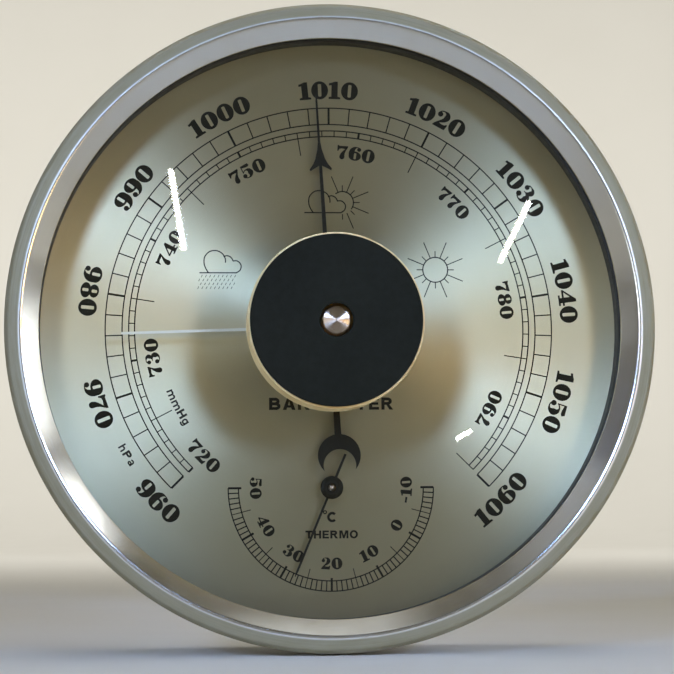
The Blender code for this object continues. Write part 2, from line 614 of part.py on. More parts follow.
def make_thermometer():
    """Bimetal thermometer: bracket, coil and bush on the dial, and the hand's own pieces."""
    place = (0.0, 0.0, THERMO_Z)
    feet, rear, wall = DIAL_BACK_Y + GAP, -16.8, 1.2
    outline = [(-15.0, feet), (-10.8, feet), (-10.8, rear - wall), (10.8, rear - wall),
               (10.8, feet), (15.0, feet), (15.0, feet + wall), (12.0, feet + wall), (12.0, rear),
               (-12.0, rear), (-12.0, feet + wall), (-15.0, feet + wall)]
    bm = sheet_bmesh([outline], -2.5, 2.5)
    bmesh.ops.rotate(bm, cent=(0, 0, 0), matrix=XZ_TO_XY, verts=bm.verts)
    bracket = add_piece("thermometer_bracket", bm, "steel", None, place)
    hole = rod_cutter("bracket_hole", 0.8, rear - 3.0, rear + 1.0, TINY, place)
    combine(bracket, hole, "DIFFERENCE")

    turns, inner, outer, half = 4, 1.9, 8.6, 0.2
    count = turns * SMALL
    spiral = [(inner + (outer - inner) * i / count, 2 * math.pi * turns * i / count)
              for i in range(count + 1)]
    outside = [((r + half) * math.cos(a), (r + half) * math.sin(a)) for r, a in spiral]
    inside = [((r - half) * math.cos(a), (r - half) * math.sin(a)) for r, a in reversed(spiral)]
    sheet("bimetal_coil", [outside + inside], -22.4, -19.4, "brass", None, place)

    bush = ((0.8, -26.2), (2.1, -26.2), (2.1, DIAL_Y - GAP), (1.3, DIAL_Y - GAP), (1.3, -24.0),
            (0.8, -24.0))
    turned("thermometer_bush", bush, SMALL, "brass", None, place)

    axis = pivot("thermometer_axis", 0.0, THERMO_Z)
    eye, half_width = 1.7, 0.27
    flare = math.degrees(math.asin(half_width / eye))
    needle = arc(eye, 90.0 + flare, 270.0 - flare, 8) + [(-half_width, -7.5), (half_width, -7.5)]
    needle += arc(eye, flare - 90.0, 90.0 - flare, 8) + [(half_width, 18.6), (0.05, 19.6)]
    needle += [(-0.05, 19.6), (-half_width, 18.6)]
    front = THERMO_HAND_Y
    sheet("thermometer_hand", [needle, circle(0.8, TINY)], front, front + HAND_SHEET,
          "black_print", axis, turn=THERMO_REST)
    cap = ((0.8, -28.3), (1.5, -28.3), (2.2, -28.0), (2.4, front - GAP), (0.8, front - GAP))
    turned("thermometer_cap", cap, SMALL, "black_print", axis)
    arbor = ((0.0, -28.6), (0.3, -28.6), (0.5, -28.4), (0.5, -22.7), (1.2, -22.5), (1.2, -19.3),
             (0.5, -19.1), (0.5, -17.2), (0.0, -17.2))
    turned("thermometer_arbor", arbor, SMALL, "bright_steel", axis, closed=False)


def make_glass_bush():
    """Flanged bush in the glass, in which the knob's spindle turns."""
    profile = ((1.5, -33.2), (4.6, -33.2), (4.6, -32.9), (2.9, -32.9), (2.9, -30.5), (1.5, -30.5))
    turned("glass_bush", profile, SMALL, "brass")


def make_set_knob():
    """Knob on the glass: layered disc, black face, steel hub and cap, spindle and set hand."""
    axis = pivot("set_knob_axis", 0.0, 0.0)
    recess = KNOB_BASE_Y - 2.0
    rear = ((9.6, KNOB_BASE_Y), (9.6, recess), (KNOB_BORE, recess), (KNOB_BORE, KNOB_MID_Y),
            (KNOB_REAR_RADIUS, KNOB_MID_Y), (KNOB_REAR_RADIUS, KNOB_BASE_Y - 0.2),
            (KNOB_REAR_RADIUS - 0.2, KNOB_BASE_Y))
    turned("knob_disc_rear", rear, LARGE, "knob_cream", axis)
    front = ((KNOB_BORE, KNOB_MID_Y - GAP), (KNOB_RADIUS - 0.2, KNOB_MID_Y - GAP),
             (KNOB_RADIUS, KNOB_MID_Y - GAP - 0.2), (KNOB_RADIUS, KNOB_TOP_Y + 0.2),
             (KNOB_RADIUS - 0.2, KNOB_TOP_Y), (KNOB_BORE, KNOB_TOP_Y))
    turned("knob_disc_front", front, LARGE, "knob_cream", axis)
    face = ((KNOB_BORE, KNOB_TOP_Y - GAP), (KNOB_FACE_RADIUS, KNOB_TOP_Y - GAP),
            (KNOB_FACE_RADIUS, KNOB_FACE_Y + 0.15), (KNOB_FACE_RADIUS - 0.2, KNOB_FACE_Y),
            (KNOB_BORE + 0.3, KNOB_FACE_Y), (KNOB_BORE, KNOB_FACE_Y + 0.2))
    turned("knob_face", face, LARGE, "knob_black", axis)
    tip = KNOB_FACE_Y
    hub = ((1.5, -34.2), (9.2, -34.2), (9.2, recess + GAP), (CAP_RADIUS, recess + GAP),
           (CAP_RADIUS, tip + 1.0), (CAP_RADIUS - 0.15, tip + 0.8), (0.0, tip), (0.0, -38.3),
           (1.5, -38.3))
    turned("knob_hub", hub, MEDIUM, "bright_steel", axis)
    spindle = ((0.0, -38.0), (SPINDLE_RADIUS, -38.0), (SPINDLE_RADIUS, -29.65), (2.2, -29.65),
               (2.2, -29.3), (0.0, -29.3))
    turned("knob_spindle", spindle, SMALL, "brass", axis, closed=False)
    ring("spring_washer", 1.6, 4.2, -33.85, -33.55, SMALL, "brass", axis)
    eye, root, tip_half = 2.8, 0.3, 0.22
    flare = math.degrees(math.asin(root / eye))
    hand = arc(eye, 90.0 + flare, 450.0 - flare, 16) + [(tip_half, 42.8), (-tip_half, 42.8)]
    loops = [hand, circle(1.5, SMALL)]
    sheet("set_hand", loops, SET_HAND_Y, SET_HAND_Y + 0.25, "pale_gilt", axis, turn=SET_REST)


def build():
    clear_scene()
    make_bezel()
    make_case_shell()
    make_rear_flange()
    make_rear_cover()
    make_cover_screws()
    make_hanger()
    make_glazing()
    make_dial()
    make_base_plate()
    make_dial_posts()
    make_movement_plates()
    make_pillars()
    make_capsule()
    make_capsule_post()
    make_adjusting_screw()
    make_rocker()
    make_rocker_brackets()
    make_sector()
    make_hairspring()
    make_pointer()
    make_thermometer()
    make_glass_bush()
    make_set_knob()


build()
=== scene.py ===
"""Looks of a round ship's barometer with a small thermometer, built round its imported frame.

Lengths are in millimetres, and meshes are written in metres. The dial faces -Y. Angles on the
dial are in degrees, clockwise from the top as the dial is read.
"""
import json
import math

import bmesh
import bpy
from mathutils import Matrix, Quaternion, Vector
from mathutils.geometry import delaunay_2d_cdt


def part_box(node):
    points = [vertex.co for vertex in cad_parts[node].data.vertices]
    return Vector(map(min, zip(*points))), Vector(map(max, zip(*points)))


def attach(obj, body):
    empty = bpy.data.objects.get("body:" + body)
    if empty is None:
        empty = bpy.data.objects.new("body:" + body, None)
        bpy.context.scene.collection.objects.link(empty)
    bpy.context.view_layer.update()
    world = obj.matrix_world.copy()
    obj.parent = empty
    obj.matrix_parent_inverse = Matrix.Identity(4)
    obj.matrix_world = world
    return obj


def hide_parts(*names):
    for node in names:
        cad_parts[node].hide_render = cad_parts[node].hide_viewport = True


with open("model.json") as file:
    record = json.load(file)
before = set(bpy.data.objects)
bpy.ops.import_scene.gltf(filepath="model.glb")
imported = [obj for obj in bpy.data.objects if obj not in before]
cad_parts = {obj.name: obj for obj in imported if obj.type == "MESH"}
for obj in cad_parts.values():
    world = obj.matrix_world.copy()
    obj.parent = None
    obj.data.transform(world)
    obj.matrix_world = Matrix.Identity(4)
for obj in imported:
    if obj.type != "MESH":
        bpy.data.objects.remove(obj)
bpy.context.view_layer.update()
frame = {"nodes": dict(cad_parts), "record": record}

MM = 0.001
FINE = 256                     # segments of a large turned piece
SMALL = 96                     # segments of a small one
SHARP_ANGLE = 30.0             # faces that meet at more than this are shaded as an edge


def span(node):
    """Lowest and highest corners of a CAD node at rest."""
    low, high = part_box(node)
    return low / MM, high / MM


def span_and_middle(node):
    """Lowest and highest corners of a CAD node, and the middle between them as (x, z)."""
    low, high = span(node)
    return low, high, ((low.x + high.x) / 2, (low.z + high.z) / 2)


def inner_radius(node):
    """Smallest distance of a CAD node's corners from the dial's axis."""
    return min(math.hypot(v.co.x, v.co.z) for v in frame["nodes"][node].data.vertices) / MM


# The frame's own sizes, which every piece below is drawn from
BEZEL_RADIUS = span("bezel_ring")[1].x
OPENING_RADIUS = inner_radius("bezel_ring")
CREST_Y, SKIRT_Y = (corner.y for corner in span("bezel_ring"))
LIP_Y = CREST_Y + 2.7
CREST_RADIUS = OPENING_RADIUS + 3.45
GLASS_RADIUS = span("front_glass")[1].x
GLASS_BORE = inner_radius("front_glass")
GLASS_FRONT, GLASS_BACK = (corner.y for corner in span("front_glass"))
WALL_RADIUS = inner_radius("spacer_ring")
DIAL_RADIUS = span("dial_plate")[1].x
DIAL_FRONT, DIAL_BACK = (corner.y for corner in span("dial_plate"))
COVER_RADIUS = span("rear_cover")[1].x
COVER_FRONT = span("rear_cover")[0].y
KNOB_FACE_Y = span("knob_face")[0].y
KNOB_FACE_RADIUS = span("knob_face")[1].x
KNOB_BORE = inner_radius("knob_face")
KNOB_RADIUS = span("knob_disc_front")[1].x
THERMO = (0.0, span_and_middle("thermometer_cap")[2][1])
PRESSURE_REST, SET_REST, THERMO_REST = -3.3, -91.8, 202.8    # dial angles of the hands at rest


# ---------------------------------------------------------------- outlines in the dial's plane

def polar(radius, angle, centre=(0.0, 0.0)):
    """The point at a radius and a clockwise angle from the top."""
    turn = math.radians(angle)
    return centre[0] + radius * math.sin(turn), centre[1] + radius * math.cos(turn)


def arc(radius, start, end, step, centre=(0.0, 0.0)):
    count = max(1, math.ceil(abs(end - start) / step))
    return [polar(radius, start + (end - start) * i / count, centre) for i in range(count + 1)]


def circle(radius, count=48, centre=(0.0, 0.0)):
    return arc(radius, 0.0, 360.0, 360.0 / count, centre)[:-1]


def band(radius, width, start, end, centre=(0.0, 0.0), step=1.5):
    """Outline of a thin arc of constant width."""
    outside = arc(radius + width / 2, start, end, step, centre)
    inside = arc(radius - width / 2, start, end, step, centre)
    return outside + inside[::-1]


def line(first, last, width):
    """Outline of a straight line of constant width."""
    along = Vector((last[0] - first[0], last[1] - first[1])).normalized() * width / 2
    side = Vector((-along.y, along.x))
    ends = ((first, side), (last, side), (last, -side), (first, -side))
    return [(point[0] + shift.x, point[1] + shift.y) for point, shift in ends]


def spoke(angle, inner, outer, width, centre=(0.0, 0.0)):
    return line(polar(inner, angle, centre), polar(outer, angle, centre), width)


def curve_through(points, steps=6):
    """Catmull-Rom curve through points of any number of values."""
    ends = [points[0], *points, points[-1]]
    path = []
    for a, b, c, d in zip(ends, ends[1:], ends[2:], ends[3:]):
        for i in range(steps):
            t = i / steps
            path.append(tuple(
                0.5 * (2 * q + (r - p) * t + (2 * p - 5 * q + 4 * r - s) * t * t
                       + (3 * q - p - 3 * r + s) * t ** 3)
                for p, q, r, s in zip(a, b, c, d)))
    return path + [tuple(points[-1])]


def stroke(points, steps=6):
    """Outlines that make up a curved line through (x, y, half width) points."""
    path = curve_through(points, steps)
    edges = []
    for i, (x, y, half) in enumerate(path):
        before, after = path[max(i - 1, 0)], path[min(i + 1, len(path) - 1)]
        along = Vector((after[0] - before[0], after[1] - before[1])).normalized()
        edges.append(((x - along.y * half, y + along.x * half),
                      (x + along.y * half, y - along.x * half)))
    return [[a[0], a[1], b[1], b[0]] for a, b in zip(edges, edges[1:])]


def ellipse(x, y, wide, high, count=32):
    angles = (2 * math.pi * i / count for i in range(count))
    return [(x + wide * math.cos(a), y + high * math.sin(a)) for a in angles]


def fill(shapes, holes=()):
    """Union of outlines less the holes, as (points, triangles)."""
    points, faces = [], []
    for outline in (*shapes, *holes):
        turning = sum(a[0] * b[1] - b[0] * a[1] for a, b in zip(outline, outline[1:] + outline[:1]))
        indices = list(range(len(points), len(points) + len(outline)))
        faces.append(indices if turning > 0.0 else indices[::-1])
        points += [Vector(point) for point in outline]
    made = delaunay_2d_cdt(points, [], faces, 0, 1e-5)
    triangles = [tri for tri, owners in zip(made[2], made[5])
                 if owners and max(owners) < len(shapes)]
    return [tuple(point) for point in made[0]], triangles


# ---------------------------------------------------------------- pieces

def link(name, data):
    """A new object in the scene."""
    made = bpy.data.objects.new(name, data)
    bpy.context.scene.collection.objects.link(made)
    return made


def add_mesh(name, bm, look):
    """Store a bmesh drawn in millimetres as a smooth object."""
    bmesh.ops.scale(bm, vec=(MM, MM, MM), verts=bm.verts)
    bmesh.ops.recalc_face_normals(bm, faces=bm.faces)
    mesh = bpy.data.meshes.new(name)
    bm.to_mesh(mesh)
    bm.free()
    mesh.materials.append(look)
    mesh.shade_smooth()
    return link(name, mesh)


def add_piece(name, bm, look, body):
    """Store a bmesh drawn in millimetres as a piece that rides on a body."""
    piece = add_mesh(name, bm, look)
    piece.data.set_sharp_from_angle(angle=math.radians(SHARP_ANGLE))
    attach(piece, body)
    return piece


def add_fine(node, bm, body, slot):
    """Store a bmesh as the piece that replaces a CAD node."""
    piece = add_piece(node + "_fine", bm, looks[slot], body)
    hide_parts(node)
    return piece


def rounded(corners, steps=5):
    """Profile through (radius, y, fillet) corners, with each corner rounded off.

    A point a little way along both sides of a corner keeps the flats' shading flat.
    """
    profile = []
    for i, (radius, y, fillet) in enumerate(corners):
        here = Vector((radius, y))
        if not fillet:
            profile.append((radius, y))
            continue
        before = Vector(corners[i - 1][:2]) - here
        after = Vector(corners[(i + 1) % len(corners)][:2]) - here
        reach = fillet / math.tan(before.angle(after) / 2)
        start_reach = min(reach, before.length * 0.45)
        end_reach = min(reach, after.length * 0.45)
        start, end = before.normalized() * start_reach, after.normalized() * end_reach
        profile.append(tuple(here + start * min(1.25, 0.48 * before.length / start_reach)))
        for k in range(steps + 1):
            t = k / steps
            profile.append(tuple(here + (1 - t) ** 2 * start + t * t * end))
        profile.append(tuple(here + end * min(1.25, 0.48 * after.length / end_reach)))
    return profile


def turned_bmesh(profile, centre=(0.0, 0.0), steps=FINE, closed=True):
    """Spin a profile of (radius, y) points round an axis along Y."""
    bm = bmesh.new()
    verts = [bm.verts.new((radius, y, 0.0)) for radius, y in profile]
    edges = [bm.edges.new(pair) for pair in zip(verts, verts[1:])]
    if closed:
        edges.append(bm.edges.new((verts[-1], verts[0])))
    bmesh.ops.spin(bm, geom=verts + edges, cent=(0, 0, 0), axis=(0, 1, 0),
                   angle=2 * math.pi, steps=steps, use_merge=True)
    bmesh.ops.remove_doubles(bm, verts=bm.verts, dist=1e-4)
    bmesh.ops.translate(bm, verts=bm.verts, vec=(centre[0], 0.0, centre[1]))
    return bm


def turned(node, corners, body, slot, centre=(0.0, 0.0), steps=FINE, closed=True):
    """A turned piece from rounded corners; an open profile starts and ends on the axis."""
    return add_fine(node, turned_bmesh(rounded(corners), centre, steps, closed), body, slot)


def sheet_bmesh(flat, front, back):
    """Give a filled outline thickness between two depths."""
    points, triangles = flat
    bm = bmesh.new()
    verts = [bm.verts.new((x, front, z)) for x, z in points]
    for tri in triangles:
        bm.faces.new([verts[i] for i in tri])
    bmesh.ops.delete(bm, geom=[v for v in bm.verts if not v.link_faces], context="VERTS")
    grown = bmesh.ops.extrude_face_region(bm, geom=bm.faces[:])
    moved = [item for item in grown["geom"] if isinstance(item, bmesh.types.BMVert)]
    bmesh.ops.translate(bm, verts=moved, vec=(0.0, back - front, 0.0))
    return bm


def turn_flat(flat, angle, centre=(0.0, 0.0)):
    """Turn a filled outline clockwise about a centre."""
    points, triangles = flat
    turn = math.radians(angle)
    cos, sin = math.cos(turn), math.sin(turn)
    spun = [(centre[0] + x * cos + y * sin, centre[1] + y * cos - x * sin) for x, y in points]
    return spun, triangles


# ---------------------------------------------------------------- materials

def shader_material(name, color, roughness, metallic=0.0, **values):
    """A Principled material; values are named like its sockets, with _ for a space."""
    made = bpy.data.materials.new(name)
    made.use_nodes = True
    shader = made.node_tree.nodes["Principled BSDF"]
    shader.inputs["Base Color"].default_value = (*color, 1.0)
    shader.inputs["Roughness"].default_value = roughness
    shader.inputs["Metallic"].default_value = metallic
    for socket, value in values.items():
        shader.inputs[socket.replace("_", " ")].default_value = value
    return made


def add_node(tree, kind, values=(), **settings):
    """A node with settings, whose inputs are values or the sockets that feed them."""
    node = tree.nodes.new(kind)
    for setting, value in settings.items():
        setattr(node, setting, value)
    for key, value in dict(values).items():
        if isinstance(value, bpy.types.NodeSocket):
            tree.links.new(value, node.inputs[key])
        else:
            node.inputs[key].default_value = value
    return node


def place_socket(tree):
    return add_node(tree, "ShaderNodeTexCoord").outputs["Object"]


def flat_and_radius(tree):
    """The place with its depth taken out, and its distance from the dial's axis."""
    flat = add_node(tree, "ShaderNodeVectorMath", {0: place_socket(tree), 1: (1.0, 0.0, 1.0)},
                    operation="MULTIPLY").outputs[0]
    return flat, add_node(tree, "ShaderNodeVectorMath", {0: flat}, operation="LENGTH").outputs["Value"]


def ring_socket(tree, across, along):
    """Coordinates that change quickly across turning marks and slowly along them, per metre."""
    flat, radius = flat_and_radius(tree)
    unit = add_node(tree, "ShaderNodeVectorMath", {0: flat}, operation="NORMALIZE").outputs[0]
    swept = add_node(tree, "ShaderNodeVectorMath", {0: unit, "Scale": along},
                     operation="SCALE").outputs[0]
    depth = add_node(tree, "ShaderNodeSeparateXYZ", {0: place_socket(tree)}).outputs["Y"]
    total = add_node(tree, "ShaderNodeMath", {0: radius, 1: depth}, operation="ADD").outputs[0]
    scaled = add_node(tree, "ShaderNodeMath", {0: total, 1: across}, operation="MULTIPLY")
    mark = add_node(tree, "ShaderNodeCombineXYZ", {"Y": scaled.outputs[0]}).outputs[0]
    return add_node(tree, "ShaderNodeVectorMath", {0: swept, 1: mark}, operation="ADD").outputs[0]


def noise_socket(tree, vector, scale=1.0, detail=3.0):
    values = {"Vector": vector, "Scale": scale, "Detail": detail, "Roughness": 0.6}
    return add_node(tree, "ShaderNodeTexNoise", values).outputs["Fac"]


def ramp_socket(tree, factor, low, high):
    """Map 0.3 to 0.7 of a noise onto low to high."""
    values = {"Value": factor, "From Min": 0.3, "From Max": 0.7, "To Min": low, "To Max": high}
    return add_node(tree, "ShaderNodeMapRange", values).outputs["Result"]


def vary_color(tree, factor, first, second):
    """Feed the base colour a mix of two colours."""
    mix = add_node(tree, "ShaderNodeMix", data_type="RGBA")
    for socket in (s for s in mix.inputs if s.type == "RGBA"):
        socket.default_value = (*(first if socket.name == "A" else second), 1.0)
    tree.links.new(factor, mix.inputs["Factor"])
    color = next(s for s in mix.outputs if s.type == "RGBA")
    tree.links.new(color, tree.nodes["Principled BSDF"].inputs["Base Color"])


def feed(tree, socket, source):
    tree.links.new(source, tree.nodes["Principled BSDF"].inputs[socket])


def add_bump(tree, height, strength, distance):
    bump = add_node(tree, "ShaderNodeBump",
                    {"Height": height, "Strength": strength, "Distance": distance * MM})
    feed(tree, "Normal", bump.outputs["Normal"])


def spun_material(name, color, roughness, anisotropic):
    """A metal whose highlights spread across turning marks round the Y axis."""
    made = shader_material(name, color, roughness, 1.0, Anisotropic=anisotropic,
                           Anisotropic_Rotation=0.25)
    tree = made.node_tree
    tangent = add_node(tree, "ShaderNodeTangent", direction_type="RADIAL", axis="Y")
    feed(tree, "Tangent", tangent.outputs[0])
    return made


def turned_metal(name, color, darker, roughness, spread, bump=0.15, across=2600.0, along=1.5,
                 anisotropic=0.5):
    """Metal with turning marks round an axis along Y."""
    made = spun_material(name, color, roughness, anisotropic)
    tree = made.node_tree
    marks = noise_socket(tree, ring_socket(tree, across, along))
    clouds = noise_socket(tree, place_socket(tree), 60.0, 4.0)
    vary_color(tree, ramp_socket(tree, clouds, 0.0, 1.0), color, darker)
    feed(tree, "Roughness", ramp_socket(tree, marks, roughness - spread, roughness + spread))
    add_bump(tree, marks, bump, 0.02)
    return made


def grainy(name, color, darker, roughness, spread, scale, bump, metallic=0.0, **values):
    """A surface with fine even grain and faint clouds of a second colour."""
    made = shader_material(name, color, roughness, metallic, **values)
    tree = made.node_tree
    grain = noise_socket(tree, place_socket(tree), scale, 4.0)
    clouds = noise_socket(tree, place_socket(tree), scale / 12.0, 3.0)
    vary_color(tree, ramp_socket(tree, clouds, 0.0, 1.0), color, darker)
    feed(tree, "Roughness", ramp_socket(tree, grain, roughness - spread, roughness + spread))
    add_bump(tree, grain, bump, 0.02)
    return made


def glass_material():
    """Clear flat glass: what is behind shows straight through, under a mirror sheen.

    Only the surface where light enters reflects, because light that leaves isn't bent.
    """
    made = bpy.data.materials.new("front_glass_clear")
    made.use_nodes = True
    tree = made.node_tree
    tree.nodes.remove(tree.nodes["Principled BSDF"])
    smears = noise_socket(tree, place_socket(tree), 45.0, 3.0)
    clear = add_node(tree, "ShaderNodeBsdfTransparent", {"Color": (0.975, 0.985, 0.975, 1.0)})
    sheen = add_node(tree, "ShaderNodeBsdfGlossy", {
        "Color": (1.0, 1.0, 1.0, 1.0), "Roughness": ramp_socket(tree, smears, 0.0, 0.02)})
    fresnel = add_node(tree, "ShaderNodeFresnel", {"IOR": 1.55}).outputs[0]
    leaving = add_node(tree, "ShaderNodeNewGeometry").outputs["Backfacing"]
    entering = add_node(tree, "ShaderNodeMath", {0: 1.0, 1: leaving}, operation="SUBTRACT")
    share = add_node(tree, "ShaderNodeMath", {0: fresnel, 1: entering.outputs[0]},
                     operation="MULTIPLY")
    mix = add_node(tree, "ShaderNodeMixShader",
                   {0: share.outputs[0], 1: clear.outputs[0], 2: sheen.outputs[0]})
    tree.links.new(mix.outputs[0], tree.nodes["Material Output"].inputs["Surface"])
    return made


def bezel_material():
    """Polished inner flank and crest, and an outer band with satin turning marks whose colour is darker and
    warmer: painted shade with a painted warm tint against the cool lamps.
    """
    made = spun_material("bezel_spun_steel", (0.72, 0.72, 0.70), 0.2, 0.2)
    tree = made.node_tree
    band_from, band_to = (CREST_RADIUS + 0.15) * MM, (CREST_RADIUS + 0.65) * MM
    outer = add_node(tree, "ShaderNodeMapRange", {
        "Value": flat_and_radius(tree)[1], "From Min": band_from, "From Max": band_to,
    }).outputs["Result"]
    marks = noise_socket(tree, ring_socket(tree, 5200.0, 1.2), 1.0, 4.0)
    wear = noise_socket(tree, ring_socket(tree, 700.0, 9.0), 1.0, 4.0)
    satin = ramp_socket(tree, marks, 0.74, 0.86)
    polish = ramp_socket(tree, wear, 0.16, 0.24)
    rough = add_node(tree, "ShaderNodeMix", {"Factor": outer, "A": polish, "B": satin})
    feed(tree, "Roughness", rough.outputs["Result"])
    # Painted shade: the outer band's colour is darker and warmer than the flank's, a painted shade with a
    # warm tint that offsets the cool key lamps; a fifth of the mix follows the wear noise.
    band_shade_and_wear = add_node(tree, "ShaderNodeMix", {"Factor": 0.2, "A": outer, "B": wear})
    vary_color(tree, band_shade_and_wear.outputs["Result"], (0.80, 0.81, 0.79), (0.32, 0.28, 0.16))
    strength = add_node(tree, "ShaderNodeMath", {0: outer, 1: 0.16}, operation="MULTIPLY")
    faint = add_node(tree, "ShaderNodeMath", {0: strength.outputs[0], 1: 0.015}, operation="ADD")
    add_bump(tree, marks, faint.outputs[0], 0.02)
    return made


def dial_material():
    """Silvered dial, brushed in circles so that its highlights spread as rays from the centre."""
    made = spun_material("dial_brushed_silver", (0.70, 0.63, 0.46), 0.58, 1.0)
    tree = made.node_tree
    marks = noise_socket(tree, ring_socket(tree, 4000.0, 2.0), 1.0, 4.0)
    clouds = noise_socket(tree, place_socket(tree), 38.0, 3.0)
    vary_color(tree, ramp_socket(tree, clouds, 0.0, 1.0), (0.76, 0.68, 0.46), (0.70, 0.62, 0.40))
    feed(tree, "Roughness", ramp_socket(tree, marks, 0.54, 0.62))
    add_bump(tree, marks, 0.12, 0.01)
    return made


def build_looks():
    """Each material slot of the record, and the looks that some pieces share."""
    brass = ((0.78, 0.58, 0.27), (0.66, 0.46, 0.19))
    steel = ((0.56, 0.56, 0.55), (0.46, 0.46, 0.45))
    return {
        "bezel_steel": bezel_material(),
        "case_steel": turned_metal("case_spun_steel", (0.60, 0.60, 0.58), (0.52, 0.52, 0.50),
                                   0.34, 0.06),
        "dial_silver": dial_material(),
        "spacer_black": grainy("spacer_matt_black", (0.030, 0.031, 0.028), (0.022, 0.022, 0.020),
                               0.5, 0.1, 900.0, 0.15),
        "black_rubber": grainy("gasket_rubber", (0.018, 0.018, 0.018), (0.028, 0.028, 0.027),
                               0.75, 0.1, 1200.0, 0.25),
        "clear_glass": glass_material(),
        "black_hand": grainy("hand_black_paint", (0.007, 0.006, 0.003), (0.013, 0.011, 0.006),
                             0.5, 0.08, 1500.0, 0.08, Specular_IOR_Level=0.08),
        "knob_black": grainy("knob_matt_black", (0.0062, 0.0066, 0.0030), (0.0086, 0.0090, 0.0046),
                             0.72, 0.1, 900.0, 0.2, Specular_IOR_Level=0.12),
        "knob_cream": grainy("knob_cream_side", (0.84, 0.63, 0.30), (0.72, 0.52, 0.22),
                             0.62, 0.08, 700.0, 0.3),
        "bright_steel": turned_metal("cap_bright_steel", (0.60, 0.50, 0.40), (0.46, 0.37, 0.28),
                                     0.33, 0.08, 0.25, 9000.0, 1.0, anisotropic=1.0),
        "pale_gilt": grainy("hand_pale_gilt", (0.86, 0.84, 0.74), (0.78, 0.74, 0.60),
                            0.38, 0.06, 1500.0, 0.05, 0.75),
        "brass": grainy("movement_brass", *brass, 0.32, 0.08, 500.0, 0.1, 1.0),
        "steel": grainy("movement_steel", *steel, 0.36, 0.08, 500.0, 0.1, 1.0),
        "spring_steel": grainy("hairspring_blue_steel", (0.20, 0.24, 0.36), (0.26, 0.28, 0.34),
                               0.3, 0.06, 900.0, 0.05, 1.0),
        "bimetal": grainy("bimetal_strip", (0.62, 0.52, 0.36), (0.50, 0.46, 0.40),
                          0.38, 0.08, 700.0, 0.1, 1.0),
        "capsule_silver": turned_metal("capsule_nickel", (0.70, 0.68, 0.60), (0.60, 0.58, 0.50),
                                       0.3, 0.06),
        "dial_ink": grainy("dial_printing_ink", (0.007, 0.006, 0.003), (0.012, 0.010, 0.005),
                           0.6, 0.08, 2500.0, 0.05, Specular_IOR_Level=0.05),
        "floor": grainy("floor_pale", (0.68, 0.65, 0.58), (0.65, 0.62, 0.55),
                        0.75, 0.08, 30.0, 0.05),
    }


looks = build_looks()


# ---------------------------------------------------------------- characters

def ball(x, y, radius):
    return ellipse(x, y, radius, radius, 20)


def slot_hole(x, y, wide, high):
    """A narrow upright counter with blunt, rounded ends."""
    bend = min(wide, high) * 0.6
    steps = [i * math.pi / 8 for i in range(5)]
    right_top = [(wide - bend + bend * math.sin(a), high - bend + bend * math.cos(a)) for a in steps]
    half = right_top + [(px, -py) for px, py in reversed(right_top)]
    return [(x + px, y + py) for px, py in half + [(-px, py) for px, py in reversed(half)]]


